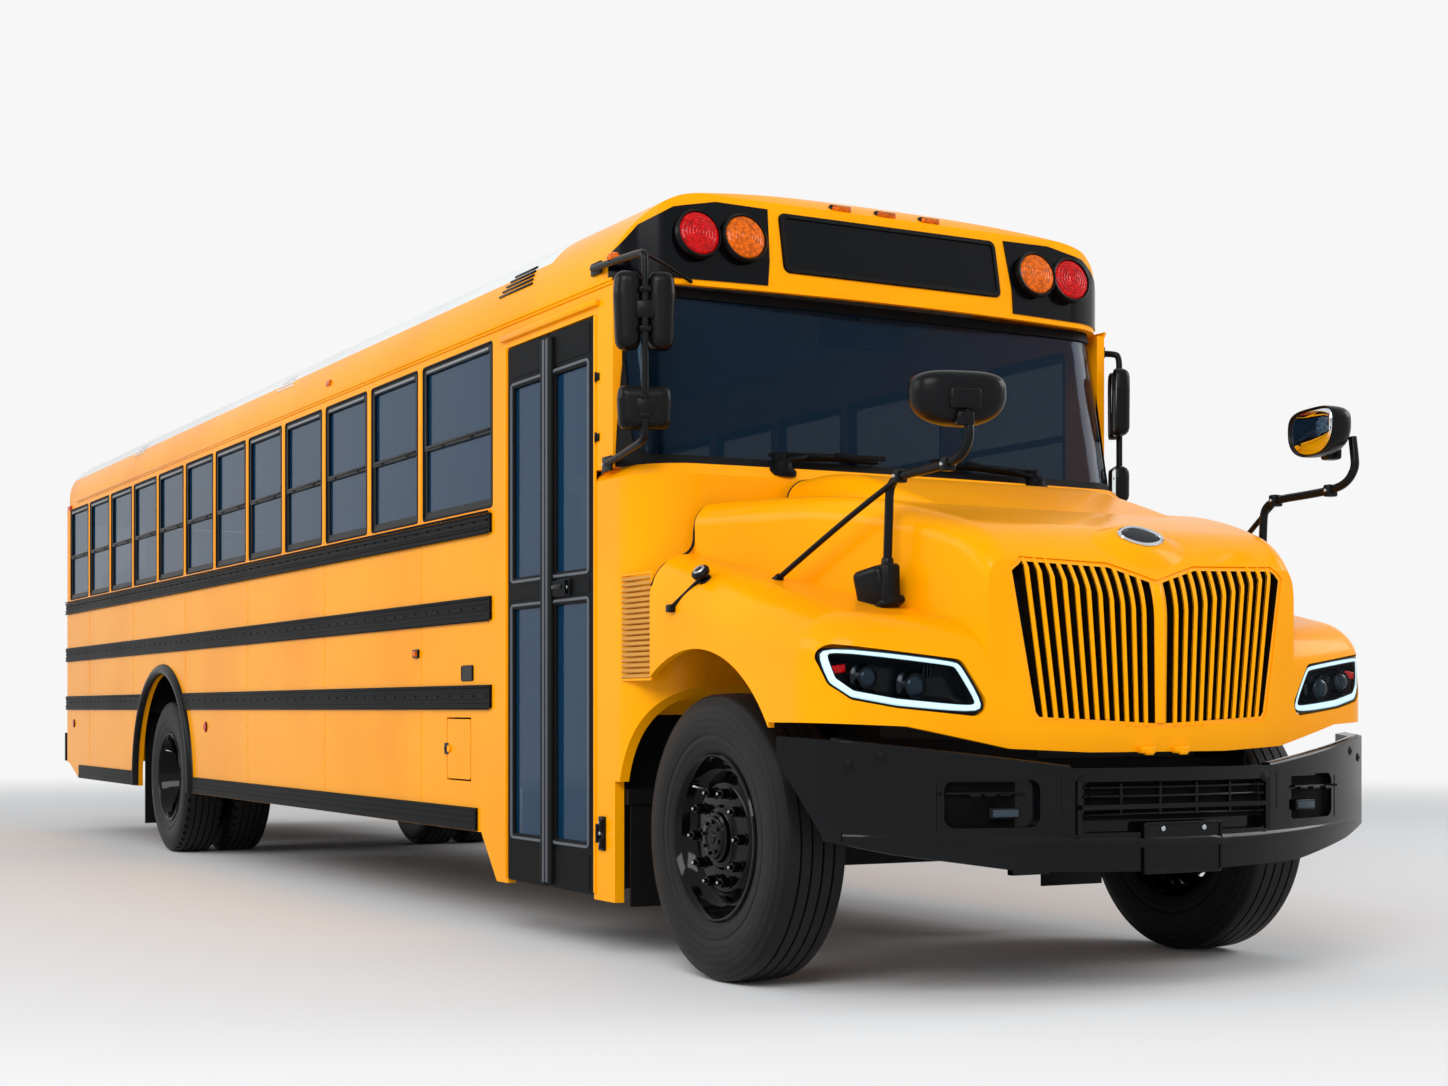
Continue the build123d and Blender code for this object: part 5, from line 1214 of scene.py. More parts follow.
    # Side lamps, blank plate, reflectors, access latch
    form = bmesh.new()
    x = side * BODY_HALF
    flat = on_side(side, x)
    y, z = AXLE_F + 2.92, 1.249
    flat_plate(form, about(y, z, 0.075 / 2, 0.042 / 2), flat, 0.012, 0.008, 0.003)
    flat_plate(form, box_outline(y - 0.075 / 2 + 0.008, y + 0.006, z - 0.014, z + 0.014),
               on_side(side, x + side * 0.011), 0.012, 0.008, 0.004, 2)
    y, z = AXLE_F + 2.27, 1.146
    flat_plate(form, about(y, z, 0.070, 0.036), flat, 0.006, 0.008, 0.002)
    ring_frame(form, about(y, z, 0.066, 0.032), on_side(side, x + side * 0.005), 0.006, 0.003,
               0.006, 0.001)
    # Round red reflectors: their red lens carries the lamp lens's faint glow, painted light on a
    # part that is no lamp.
    for y in (AXLE_F + 6.755, BODY_REAR - 0.30):
        pin(form, x, x + side * 0.006, y, 0.870, 0.034, 0.033, 32, 0.002)
        pin(form, x + side * 0.005, x + side * 0.010, y, 0.870, 0.028, 0.026, 32, 0.002, tint=3)
    y, z = AXLE_F + 2.53, 0.800
    flat_plate(form, about(y, z, 0.022, 0.026), flat, 0.005, 0.006, 0.0015)
    pin(form, x, x + side * 0.011, y, z, 0.012, 0.011, 24, 0.002)
    flat_plate(form, about(BODY_REAR - 0.16, 2.630, 0.045, 0.016), flat, 0.014, 0.006, 0.003, 3)
    shape("side_lamps_" + hand, "chassis", [ABS, ZINC, LENS_AMBER, LENS_RED], form)

    # Slatted vents in the coving and small markers above the windows
    form = bmesh.new()
    for y0, length, z0, count, tint in ((AXLE_F + 1.60, 0.36, 2.800, 5, 0),
                                        (AXLE_F + 5.05, 0.30, 2.840, 4, 1),
                                        (AXLE_F + 8.60, 0.30, 2.840, 4, 1)):
        for k in range(count):
            spot, out, tilt = tilted_spot(side, y0 + length / 2, z0 + 0.021 * k)
            block(form, spot + out * 0.002, (0.010, length - 0.030 * k, 0.011), 0.003, 2,
                  (0, -tilt, 0), tint)
    spot, out, tilt = tilted_spot(side, AXLE_F + 4.28, 2.740)
    block(form, spot + out * 0.004, (0.016, 0.070, 0.030), 0.006, 3, (0, -tilt, 0), 2)
    shape("cove_vents_" + hand, "chassis", [ABS, WHITE, LENS_AMBER], form)

# Entry door: trims round the panes, wide rubber seals in the middle, handle and hinges
for name, body, y0, y1, inner in (
        ("front", "entry_front", AXLE_F + 0.938, AXLE_F + 1.366, 1),
        ("rear", "entry_rear", AXLE_F + 1.374, AXLE_F + 1.802, -1)):
    form = bmesh.new()
    for low, high in ((0.434, 1.425), (1.535, 2.380)):
        ring_frame(form, box_outline(y0 + 0.036, y1 - 0.036, low - 0.010, high + 0.010),
                   on_side(-1, -BODY_HALF), 0.012, 0.006, 0.026, 0.002)
        ring_frame(form, box_outline(y0 + 0.047, y1 - 0.047, low + 0.001, high - 0.001),
                   on_side(-1, -BODY_HALF + 0.014), 0.012, 0.014, 0.020, 0.002, 1)
    for low, high in ((0.250, 0.400), (1.450, 1.510), (2.410, 2.530)):
        flat_plate(form, box_outline(y0 + 0.030, y1 - 0.040, low, high),
                   on_side(-1, -BODY_HALF), 0.0025, 0.010, 0.001, 2)
    shape("door_trim_" + name, body, [TRIM_GREY, RUBBER, DOOR_BLACK], form)
    form = bmesh.new()
    middle = DOOR_MID - inner * 0.030
    block(form, (-BODY_HALF - 0.007, middle, 1.392), (0.022, 0.050, 2.270), 0.008, 4)
    block(form, (-BODY_HALF - 0.014, middle + inner * 0.013, 1.392), (0.016, 0.016, 2.262),
          0.006, 3, tint=1)
    block(form, (-BODY_HALF - 0.012, middle - inner * 0.014, 1.392), (0.010, 0.006, 2.262),
          0.002, 2)
    shape("door_seal_" + name, body, [RUBBER, TRIM_GREY], form)
form = bmesh.new()
y = AXLE_F + 1.22
block(form, (-BODY_HALF - 0.006, y, 1.480), (0.012, 0.150, 0.070), 0.005, 3)
block(form, (-BODY_HALF - 0.022, y + 0.020, 1.484), (0.014, 0.096, 0.020), 0.006, 3)
for dy in (-0.022, 0.062):
    pin(form, -BODY_HALF - 0.004, -BODY_HALF - 0.020, y + dy, 1.484, 0.008, None, 14, 0.001)
pin(form, -BODY_HALF - 0.010, -BODY_HALF - 0.017, y - 0.052, 1.480, 0.011, 0.010, 20, 0.001,
    tint=1)
shape("door_handle", "entry_front", [ABS, ZINC], form)

form = bmesh.new()
block(form, (-BODY_HALF - 0.008, DOOR_MID, 2.590), (0.022, 0.980, 0.016), 0.005, 3)
block(form, (-BODY_HALF - 0.015, DOOR_MID, 2.598), (0.008, 0.980, 0.020), 0.003, 2)
for y in (AXLE_F + 0.918, AXLE_F + 1.822):
    block(form, (-BODY_HALF - 0.002, y, 1.400), (0.010, 0.016, 2.300), 0.004, 3)
shape("door_drip_rail", "chassis", YELLOW, form)
form = bmesh.new()
for z in (2.300, 2.060):
    block(form, (-BODY_HALF - 0.003, AXLE_F + 0.890, z), (0.008, 0.022, 0.030), 0.003, 2)
    rod(form, (-BODY_HALF - 0.008, AXLE_F + 0.900, z - 0.020),
        (-BODY_HALF - 0.008, AXLE_F + 0.900, z + 0.020), 0.005, None, 14, 0.001)
for y in (AXLE_F + 0.84, AXLE_F + 0.86):
    pin(form, -BODY_HALF + 0.02, -BODY_HALF - 0.004, y, 0.54, 0.012, None, 6, 0.002, tint=1)
buckle_y = AXLE_F + 0.846
block(form, (-BODY_HALF - 0.005, buckle_y, 0.492), (0.014, 0.052, 0.135), 0.005, 3)
for dy, low, high in ((-0.018, 0.435, 0.475), (-0.018, 0.500, 0.548), (0.016, 0.455, 0.530)):
    rod(form, (-BODY_HALF - 0.018, buckle_y + dy, low),
        (-BODY_HALF - 0.018, buckle_y + dy, high), 0.0085, None, 16, 0.002)
for z in (0.452, 0.492, 0.534):
    pin(form, -BODY_HALF - 0.012, -BODY_HALF - 0.020, buckle_y, z, 0.010, 0.008, 16,
        0.002, tint=1)
shape("door_hinges", "chassis", [ABS, ZINC], form)

# Rear-view mirrors: tube frames with feet, clamps and three heads a side
# Each route's points, the turn of its heads and how far they sit lower
mirror_routes = {
    "kerb": ([(-1.226, 0.790, 1.948), (-1.232, 0.700, 1.957), (-1.249, 0.500, 1.983),
              (-1.250, 0.440, 1.992), (-1.250, 0.420, 2.010), (-1.250, 0.420, 2.070),
              (-1.250, 0.420, 2.400), (-1.250, 0.420, 2.650), (-1.250, 0.424, 2.698),
              (-1.249, 0.460, 2.707), (-1.240, 0.700, 2.721), (-1.226, 0.930, 2.734)], -22, 0),
    "driver": ([(1.226, 0.800, 1.935), (1.262, 0.770, 1.912), (1.278, 0.742, 1.900),
                (1.280, 0.729, 1.925), (1.280, 0.728, 1.970), (1.280, 0.728, 2.250),
                (1.280, 0.728, 2.500), (1.279, 0.730, 2.555), (1.266, 0.738, 2.574),
                (1.226, 0.805, 2.580)], 60, 0.140)}


def mirror_head(form, place, outline, soft):
    """A domed housing, widest in the middle, with its glass set back in a lip (+Y)."""
    def ring(inset, y):
        return [place @ Vector((u, y, v)) for u, v in rounded(outline, soft, inset, 6)]

    skin(form, [ring(0.006, 0.024), ring(0.0045, 0.031), ring(0.001, 0.033), ring(0.0, 0.029),
                ring(0.0, 0.010), ring(0.002, -0.006), ring(0.008, -0.019),
                ring(0.018, -0.028), ring(0.032, -0.0325), ring(0.043, -0.033)])
    skin(form, [ring(0.006, 0.024), ring(0.020, 0.0245)], True, 1)


tall_outline = [(-0.047, -0.150), (0.047, -0.150), (0.056, 0.060), (0.050, 0.150),
                (-0.050, 0.150), (-0.056, 0.060)]
low_outline = [(-0.098, -0.082), (0.098, -0.082), (0.103, 0.030), (0.098, 0.082),
               (-0.098, 0.082), (-0.103, 0.030)]
for hand, (route, turn, drop) in mirror_routes.items():
    route = from_axle(route)
    tube = pipe("mirror_tube_" + hand, "chassis", ABS, route, 0.0142)
    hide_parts("side_mirrors")
    side = -1 if hand == "kerb" else 1
    x, y = route[6][0], route[6][1]
    form = bmesh.new()
    shift = 0.024 if turn < 0 else 0
    for dx, z, outline, soft in ((-0.062, 2.486, tall_outline, 0.046),
                                 (0.062, 2.486, tall_outline, 0.046),
                                 (0.0, 2.120, low_outline, 0.036)):
        place = (Matrix.Translation((x, y, z - drop)) @ turned((0, 0, turn))
                 @ Matrix.Translation((dx, shift, 0)))
        mirror_head(form, place, outline, soft)
    shape("mirror_heads_" + hand, "chassis", [ABS, MIRROR], form, 40)
    form = bmesh.new()
    frame_at = Matrix.Translation((x, y, -drop)) @ turned((0, 0, turn))
    for z, tall in ((2.560, 0.024), (2.412, 0.024), (2.155, 0.022), (2.085, 0.022)):
        block(form, frame_at @ Vector((0, shift * 0.3, z)), (0.044, 0.050, tall), 0.007, 3,
              (0, 0, turn))
        rod(form, frame_at @ Vector((-0.012, -0.026, z)), frame_at @ Vector((-0.012, -0.034, z)),
            0.0055, None, 6, 0.001)
    for z in (2.486, 2.120):
        block(form, frame_at @ Vector((0, shift - 0.020, z)), (0.070, 0.040, 0.072), 0.012, 4,
              (0, 0, turn))
    if side < 0:
        lathe(form, (x + 0.020, y + 0.31, 2.735), (-0.25, 0, 1),
              [(0, 0.026), (0.012, 0.026), (0.022, 0.020), (0.026, 0.008), (0.0265, 0)], 24, 2)
    for point, size in (((side * 1.224, AXLE_F + 0.800, 1.945 if side < 0 else 1.935),
                         (0.012, 0.080, 0.060)),
                        ((side * 1.224, AXLE_F + 0.900 if side < 0 else AXLE_F + 0.808,
                          2.730 if side < 0 else 2.580), (0.012, 0.090, 0.050))):
        block(form, point, size, 0.004, 3)
        for dy in (-0.026, 0.026):
            pin(form, point[0], point[0] + side * 0.011, point[1] + dy, point[2], 0.007, 0.006,
                6, 0.001, tint=1)
    shape("mirror_clamps_" + hand, "chassis", [ABS, ZINC, LENS_AMBER], form)
pipe("mirror_stay", "chassis", ABS,
     from_axle([(-1.250, 0.420, 2.695), (-1.140, 0.500, 2.690), (-1.000, 0.600, 2.672),
                (-0.935, 0.645, 2.662)]), 0.008)


# Warning lamps: domed ribbed lenses in black bezels, front and rear
def round_lamp(form, face, axis, radius, tint):
    """A lens with rings moulded in it, standing in a bezel."""
    lathe(form, face, axis, [(-0.012, radius + 0.011), (0.010, radius + 0.010),
                             (0.014, radius + 0.006), (0.013, radius), (0.002, radius - 0.001)],
          56)
    section = [(-0.004, radius - 0.001), (0.008, radius - 0.002), (0.013, radius - 0.007)]
    rings = 6
    for k in range(rings):
        r = (radius - 0.010) * (1 - k / rings)
        bulge = 0.013 + 0.010 * (1 - (r / radius) ** 2)
        section += [(bulge, r), (bulge + 0.0022, r - 0.004), (bulge + 0.0004, r - 0.008)]
    section += [(0.0235, 0.006), (0.0240, 0.0)]
    lathe(form, face, axis, section, 56, tint)


tilt = Vector((0, -0.9816, 0.1908))
back = Vector((0, 1, 0))
form = bmesh.new()
for side in (-1, 1):
    for x, y, z, axis, r, tint in (
            (0.916, AXLE_F + 0.6185, 2.8457, tilt, 0.089, 1),
            (0.718, AXLE_F + 0.6015, 2.8477, tilt, 0.089, 2),
            (0.950, BODY_REAR + 0.008, 2.760, back, 0.080, 1),
            (0.740, BODY_REAR + 0.008, 2.760, back, 0.080, 2),
            (REAR_LAMP_X, BODY_REAR + 0.004, 1.500, back, 0.084, 1),
            (REAR_LAMP_X, BODY_REAR + 0.004, 1.260, back, 0.084, 2)):
        round_lamp(form, Vector((side * x, y, z)), axis, r, tint)
for x in (-0.220, 0.0, 0.220):
    spot, _ = on_node("front_cap", (x, AXLE_F - 1.0, 3.034), (0, 1, 0))
    block(form, spot + Vector((0, 0.004, 0)), (0.104, 0.022, 0.034), 0.008, 3)
    block(form, spot + Vector((0, -0.008, 0)), (0.086, 0.020, 0.022), 0.007, 4, tint=2)
lamps = shape("warning_lamps", "chassis", [ABS, LENS_RED, LENS_AMBER], form, 50)
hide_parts("lamps_red")
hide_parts("lamps_amber")

# Destination sign: a blank panel in a frame that follows the cap
form = bmesh.new()
rows = []
for inset, height in ((0.0, 0.0), (0.002, 0.007), (0.016, 0.007), (0.018, 0.0005)):
    ring = []
    for x, z in rounded(box_outline(-0.532, 0.532, 2.733, 2.977), 0.034, inset, 6):
        spot, _ = on_node("light_panels", (x, AXLE_F - 1.0, z), (0, 1, 0))
        ring.append(spot - Vector((0, height, 0)))
    rows.append(ring)
skin(form, rows, False)
for x in (-0.50, -0.25, 0.0, 0.25, 0.50):
    for z in (2.739, 2.971):
        spot, _ = on_node("light_panels", (x, AXLE_F - 1.0, z), (0, 1, 0))
        rod(form, spot - Vector((0, 0.005, 0)), spot - Vector((0, 0.010, 0)), 0.005, 0.004, 12,
            0.001)
shape("sign_frame", "chassis", ABS, form)

# Inner mirror behind the windscreen
form = bmesh.new()
block(form, (0, AXLE_F + 0.86, 2.560), (0.42, 0.030, 0.110), 0.012, 4, (18, 0, 0))
block(form, (0, AXLE_F + 0.875, 2.560), (0.39, 0.012, 0.088), 0.004, 2, (18, 0, 0), 1)
rod(form, (0, AXLE_F + 0.87, 2.600), (0, AXLE_F + 0.93, 2.680), 0.008, None, 12, 0.001)
shape("inner_mirror", "chassis", [ABS, MIRROR], form)

# Roof: cross ribs, hatch frames and the hatches' domes and handles
form = bmesh.new()
y = AXLE_F + 1.56
while y < BODY_REAR - 0.45:
    if min(abs(y - mid) for mid in HATCHES) > 0.42:
        roof_strip(form, y, 0.90, 0.040, 0.007, 20)
    y += WINDOW_PITCH
for mid in HATCHES:
    for dy in (-0.315, 0.315):
        roof_strip(form, mid + dy, 0.33, 0.040, 0.018, 10)
    for x in (-0.315, 0.315):
        spot, _ = top_spot(x * 1.03, mid)
        block(form, spot + Vector((0, 0, 0.005)), (0.036, 0.66, 0.026), 0.008, 3)
shape("roof_ribs", "chassis", WHITE, form)
for index, mid in enumerate(HATCHES):
    form = bmesh.new()
    spot, _ = top_spot(0, mid)
    lathe(form, spot - Vector((0, 0, 0.002)), (0, 0, 1),
          [(0, 0.150), (0.010, 0.148), (0.022, 0.136), (0.028, 0.110), (0.031, 0.060),
           (0.032, 0.0)], 48)
    block(form, spot + Vector((0, 0.235, 0.014)), (0.160, 0.026, 0.020), 0.008, 3, tint=1)
    for dx in (-0.17, 0.17):
        block(form, (dx, mid - 0.262, spot.z + 0.006), (0.070, 0.036, 0.016), 0.005, 3, tint=1)
    shape("hatch_fittings_" + ("front", "rear")[index], "hatch_" + ("front", "rear")[index],
          [WHITE, ABS], form)

# Stop arm: white border, two lamps and hinge fittings; its face is left blank
form = bmesh.new()
x = STOP_X
y, z = AXLE_F + 1.385, 1.620
for out_side in (-1, 1):
    rings = []
    for reach, h in ((0.236, 0.0075), (0.234, 0.0095), (0.218, 0.0095), (0.216, 0.0080)):
        rings.append([Vector((x + out_side * h, y + reach * math.cos(math.radians(45 * k + 22.5)),
                              z + reach * math.sin(math.radians(45 * k + 22.5))))
                      for k in range(8)])
    skin(form, rings, False)
for dz in (-0.150, 0.150):
    lathe(form, (x + 0.007, y, z + dz), (1, 0, 0),
          [(0, 0.044), (0.010, 0.043), (0.013, 0.038), (0.012, 0.035)], 32, 1)
    lathe(form, (x + 0.010, y, z + dz), (1, 0, 0),
          [(0, 0.036), (0.006, 0.034), (0.011, 0.022), (0.0125, 0)], 32, 2)
shape("stop_arm_face", "stop_sign", [SIGN_WHITE, ABS, LENS_RED], form, 40)
form = bmesh.new()
block(form, (x - 0.012, AXLE_F + 1.140, z), (0.010, 0.060, 0.180), 0.004, 3)
for dz in (-0.07, 0.0, 0.07):
    pin(form, x + 0.006, x + 0.013, AXLE_F + 1.150, z + dz, 0.008, 0.007, 6, 0.001, tint=1)
shape("stop_arm_bracket", "stop_sign", [ABS, ZINC], form)
form = bmesh.new()
block(form, (BODY_HALF + 0.022, AXLE_F + 1.070, z), (0.044, 0.080, 0.260), 0.012, 4)
shape("stop_arm_box", "chassis", ABS, form)


# Rear: gaskets, side panes, door handle and hinges, reflectors and a blank plate
form = bmesh.new()
rear = on_rear(BODY_REAR)
for low, high in REAR_PANES:
    ring_frame(form, box_outline(-REAR_PANE_HALF - 0.012, REAR_PANE_HALF + 0.012, low - 0.012,
                                 high + 0.012), rear, 0.016, 0.006, 0.036, 0.002)
shape("rear_door_gaskets", "exit_door", RUBBER, form)
form = bmesh.new()
block(form, (0.340, BODY_REAR + 0.010, 1.720), (0.200, 0.018, 0.090), 0.008, 3)
block(form, (0.330, BODY_REAR + 0.034, 1.720), (0.160, 0.016, 0.026), 0.007, 4, tint=1)
shape("rear_door_handle", "exit_door", [ABS, ZINC], form)
form = bmesh.new()
for z in (0.900, 1.300, 2.100, 2.500):
    block(form, (-EXIT_HALF - 0.050, BODY_REAR + 0.005, z), (0.060, 0.012, 0.060), 0.004, 3)
    rod(form, (-EXIT_HALF - 0.020, BODY_REAR + 0.009, z - 0.04),
        (-EXIT_HALF - 0.020, BODY_REAR + 0.009, z + 0.04), 0.008, None, 14, 0.002)
shape("rear_door_hinges", "chassis", ABS, form)
form = bmesh.new()
for side in (-1, 1):
    low_x, high_x = sorted((side * REAR_WINDOW[0], side * REAR_WINDOW[1]))
    ring_frame(form, box_outline(low_x - 0.012, high_x + 0.012, REAR_WINDOW[2] - 0.012,
                                 REAR_WINDOW[3] + 0.012), rear, 0.018, 0.007, 0.045, 0.002)
shape("rear_window_gaskets", "chassis", RUBBER, form)
form = bmesh.new()
for side in (-1, 1):
    low_x, high_x = sorted((side * REAR_WINDOW[0], side * REAR_WINDOW[1]))
    flat_plate(form, box_outline(low_x + 0.001, high_x - 0.001, REAR_WINDOW[2] + 0.001,
                                 REAR_WINDOW[3] - 0.001), on_rear(BODY_REAR - 0.018), 0.006, 0.038,
               0.001)
shape("rear_window_glass", "chassis", GLASS, form)
form = bmesh.new()
for side in (-1, 1):
    # Round red reflectors: their red lens carries the lamp lens's faint glow, painted light on a
    # part that is no lamp.
    for low, high, sizes in ((0.0, 0.008, (0.045, 0.043)), (0.007, 0.012, (0.038, 0.036))):
        rod(form, (side * REAR_LAMP_X, BODY_REAR + low, 1.060),
            (side * REAR_LAMP_X, BODY_REAR + high, 1.060), *sizes, 36, 0.002,
            tint=1 if low else 0)
    flat_plate(form, box_outline(side * 0.84 - 0.045, side * 0.84 + 0.045, 2.640, 2.668), rear,
               0.012, 0.006, 0.003, 1)
flat_plate(form, box_outline(-0.980, -0.680, 1.020, 1.180), rear, 0.005, 0.012, 0.002)
ring_frame(form, box_outline(-0.980, -0.680, 1.020, 1.180), on_rear(BODY_REAR + 0.004), 0.010,
           0.004, 0.012, 0.001)
for x in (-0.93, -0.73):
    rod(form, (x, BODY_REAR + 0.004, 1.160), (x, BODY_REAR + 0.009, 1.160), 0.006, 0.005, 12,
        0.001)
shape("rear_reflectors", "chassis", [ABS, LENS_RED], form)


# Seats: one bench back and one cushion are puffed up by cloth, then copied down both aisles
def puffed(name, size, cap, soft, coarse):
    """A cushion: a soft box remeshed, inflated by cloth, then subdivided once.

    cap is how far a point may move, coarse the size of the mesh.
    """
    form = bmesh.new()
    block(form, (0, 0, 0), size, soft, 4)
    mesh = bpy.data.meshes.new(name)
    form.to_mesh(mesh)
    form.free()
    pad = bpy.data.objects.new(name, mesh)
    bpy.context.collection.objects.link(pad)
    grid = pad.modifiers.new("grid", "REMESH")
    grid.mode = "VOXEL"
    grid.voxel_size = coarse
    pad.data = baked(pad)
    pad.modifiers.clear()
    rest = [v.co.copy() for v in pad.data.vertices]
    cloth = pad.modifiers.new("cloth", "CLOTH")
    cloth.settings.use_pressure = True
    cloth.settings.uniform_pressure_force = PUFF_PRESSURE
    cloth.settings.effector_weights.gravity = 0
    cloth.settings.quality = 5
    cloth.point_cache.frame_start = 1
    cloth.point_cache.frame_end = PUFF_FRAMES
    for frame_number in range(1, PUFF_FRAMES + 1):
        bpy.context.scene.frame_set(frame_number)
    graph = bpy.context.evaluated_depsgraph_get()
    swollen = [v.co.copy() for v in pad.evaluated_get(graph).data.vertices]
    pad.modifiers.clear()
    for vert, start, end in zip(pad.data.vertices, rest, swollen):
        move = end - start
        if move.length > cap:
            move = move.normalized() * cap
        vert.co = start + move
    bpy.context.scene.frame_set(1)
    finer = pad.modifiers.new("finer", "SUBSURF")
    finer.levels = 1
    finer.render_levels = 1
    done = baked(pad)
    bpy.data.objects.remove(pad)
    return done


def placed(name, mesh, body, finish, place):
    """A copy of a cushion's mesh at its place, with its finish."""
    mesh = mesh.copy()
    mesh.transform(place)
    mesh.materials.clear()
    mesh.materials.append(finish)
    for face in mesh.polygons:
        face.use_smooth = True
    piece = put(name, mesh, body)
    return piece


ROW_FIRST = AXLE_F + 2.330
bench_seat = puffed("bench_seat", (0.760, 0.370, 0.090), 0.012, 0.026, 0.022)
bench_back = puffed("bench_back", (0.760, 0.062, 0.620), 0.012, 0.024, 0.022)
for row in range(ROWS):
    y = ROW_FIRST + WINDOW_PITCH * row
    for hand, side in SIDES:
        seat = placed("bench_seat_%s_%02d" % (hand, row + 1), bench_seat, "chassis", VINYL,
                      Matrix.Translation((side * BENCH_X, y + 0.205, 1.428))
                      @ turned((-4, 0, 0)))
        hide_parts("passenger_seats")
        placed("bench_back_%s_%02d" % (hand, row + 1), bench_back, "chassis", VINYL,
               Matrix.Translation((side * BENCH_X, y + 0.492, 1.768))
               @ turned((-7.5, 0, 0)))
form = bmesh.new()
for row in range(ROWS):
    y = ROW_FIRST + WINDOW_PITCH * row
    for side in (-1, 1):
        block(form, (side * BENCH_X, y + 0.540, 1.750), (0.700, 0.012, 0.560), 0.005, 2,
              (-7.5, 0, 0))
        block(form, (side * BENCH_X, y + 0.220, 1.372), (0.720, 0.340, 0.020), 0.006, 2,
              (-4, 0, 0))
        for dy in (0.09, 0.38):
            rod(form, (side * LEG_X, y + dy, 1.000), (side * LEG_X, y + dy, 1.370), 0.016, None,
                10, tint=1)
        rod(form, (side * LEG_X, y + 0.05, 1.012), (side * LEG_X, y + 0.42, 1.012), 0.014, None,
            10, tint=1)
        rod(form, (side * LEG_X, y + 0.10, 1.362), (side * 1.150, y + 0.10, 1.362), 0.014, None,
            10, tint=1)
        rod(form, (side * LEG_X, y + 0.37, 1.345), (side * 1.150, y + 0.37, 1.345), 0.014, None,
            10, tint=1)
shape("bench_frames", "chassis", [SEAT_SHELL, FRAME_GREY], form)

DRIVE_X, DRIVE_Y = 0.600, AXLE_F + 1.650
seat = placed("driver_seat_cushion", puffed("driver_cushion", (0.480, 0.460, 0.100), 0.018, 0.035,
                                            0.016),
              "chassis", SEAT_CLOTH,
              Matrix.Translation((DRIVE_X, DRIVE_Y, 1.465)))
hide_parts("driver_seat")
placed("driver_seat_back", puffed("driver_back", (0.460, 0.085, 0.560), 0.016, 0.032, 0.016),
       "chassis", SEAT_CLOTH,
       Matrix.Translation((DRIVE_X, DRIVE_Y + 0.250, 1.810)) @ turned((-4, 0, 0)))
placed("driver_headrest", puffed("driver_headrest", (0.270, 0.080, 0.150), 0.012, 0.028,
                                 0.014),
       "chassis", SEAT_CLOTH,
       Matrix.Translation((DRIVE_X, DRIVE_Y + 0.252, 2.075)))
form = bmesh.new()
block(form, (DRIVE_X, DRIVE_Y, 1.390), (0.400, 0.400, 0.040), 0.010, 3)
for k in range(5):
    wide = 0.330 - 0.020 * (k % 2)
    block(form, (DRIVE_X, DRIVE_Y, 1.095 + 0.060 * k), (wide, wide, 0.056), 0.012, 3, tint=1)
block(form, (DRIVE_X, DRIVE_Y, 1.030), (0.340, 0.360, 0.055), 0.008, 3)
for dx in (-0.06, 0.06):
    rod(form, (DRIVE_X + dx, DRIVE_Y + 0.256, 1.98), (DRIVE_X + dx, DRIVE_Y + 0.256, 2.06), 0.007,
        None, 12)
for dx in (-0.215, 0.215):
    block(form, (DRIVE_X + dx, DRIVE_Y + 0.06, 1.420), (0.040, 0.28, 0.060), 0.014, 4)
shape("driver_seat_base", "chassis", [ABS, RUBBER], form)


# Camera and studio
camera = bpy.data.objects.new("camera", bpy.data.cameras.new("camera"))
bpy.context.collection.objects.link(camera)
camera.location = (-4.772, AXLE_F - 6.577, 0.979)
camera.rotation_euler = (math.radians(90), 0, math.radians(-28.89))
camera.data.sensor_width = 36.0
camera.data.lens = 36.0 * FOCAL_PIXELS / PHOTO_WIDE
camera.data.shift_y = 0.1153
camera.data.clip_end = 1200
bpy.context.scene.camera = camera

bpy.context.scene.view_settings.view_transform = "Standard"


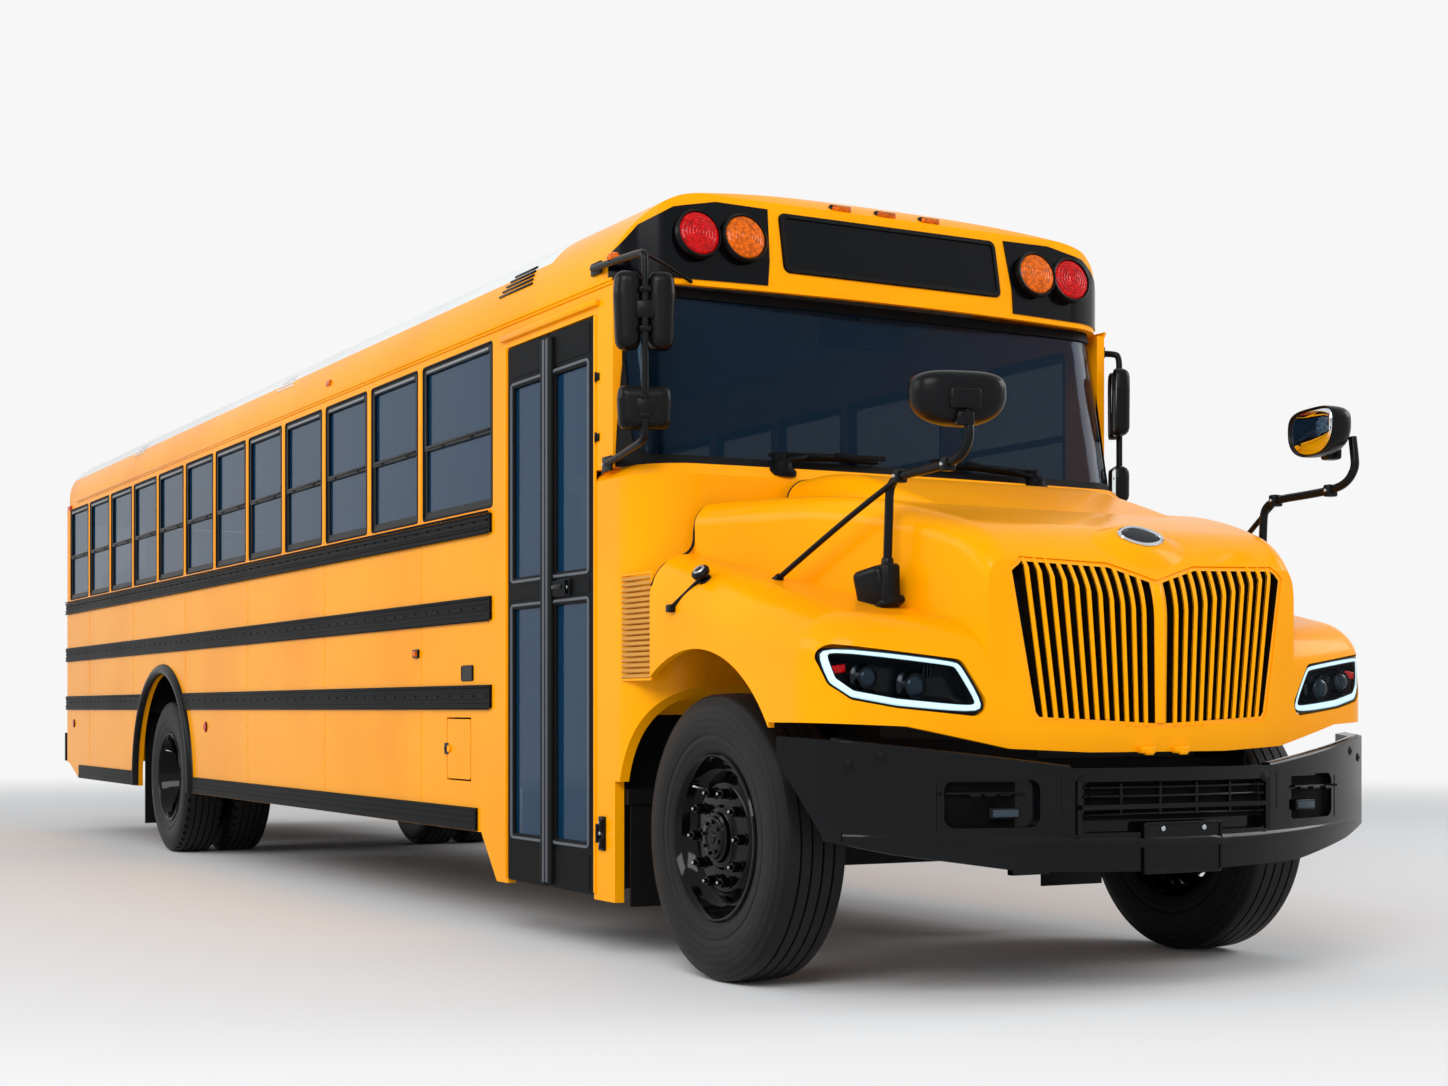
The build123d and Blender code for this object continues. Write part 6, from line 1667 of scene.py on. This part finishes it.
def studio_floor():
    """A pale floor that runs well past the picture on every side."""
    mesh = bpy.data.meshes.new("studio_floor")
    form = bmesh.new()
    bmesh.ops.create_grid(form, x_segments=1, y_segments=1, size=400)
    form.to_mesh(mesh)
    form.free()
    floor = bpy.data.objects.new("studio_floor", mesh)
    bpy.context.collection.objects.link(floor)
    made, tree, out, place = new_material("studio_floor_paper")
    grain = noise(tree, place, 8.0, 4.0)
    paper = bsdf(tree, out, {"Normal": relief(tree, grain, 0.02, 0.002)},
                 Base_Color=linear("E6E7E8"), Roughness=0.9, Specular_IOR_Level=0.1)
    far = add(tree, "VectorMath", {0: place}, operation="LENGTH")
    fade = spread(tree, far.outputs["Value"], interpolation_type="SMOOTHSTEP", From_Min=9.0,
                  From_Max=21.0)
    glow = add(tree, "Emission", Color=linear("FFFFFF"), Strength=0.93)
    both = add(tree, "MixShader", {"Fac": fade, 1: paper.outputs["BSDF"],
                                   2: glow.outputs["Emission"]})
    tree.links.new(both.outputs["Shader"], out.inputs["Surface"])
    mesh.materials.append(made)


def area_light(name, place, target, size, power):
    """A soft box aimed at a point."""
    lamp = bpy.data.lights.new(name, "AREA")
    lamp.shape = "RECTANGLE"
    lamp.size, lamp.size_y = size
    lamp.energy = power
    made = bpy.data.objects.new(name, lamp)
    bpy.context.collection.objects.link(made)
    made.location = place
    made.rotation_euler = (Vector(target) - Vector(place)).to_track_quat("-Z", "Y").to_euler()


studio_floor()
area_light("key_softbox", (-9, -14, 9), (0, -3, 1.5), (8, 6), 1200)
area_light("side_softbox", (-16, 2, 9), (0, 0, 1.5), (14, 6), 900)
area_light("rim_softbox", (12, -8, 8), (0, -3, 1.8), (8, 5), 600)

world = bpy.data.worlds.new("studio_world")
bpy.context.scene.world = world
world.use_nodes = True
tree = world.node_tree
tree.nodes.clear()
sky = add(tree, "Background", Color=linear("F4F6F8"), Strength=0.60)
seen = add(tree, "Background", Color=linear("FFFFFF"), Strength=0.93)
ray = add(tree, "LightPath").outputs
direct = maths(tree, "MAXIMUM", ray["Is Camera Ray"], ray["Is Glossy Ray"])
choose = add(tree, "MixShader", {"Fac": maths(tree, "MAXIMUM", direct,
                                              ray["Is Transmission Ray"]),
                                 1: sky.outputs["Background"], 2: seen.outputs["Background"]})
add(tree, "OutputWorld", {"Surface": choose.outputs["Shader"]})
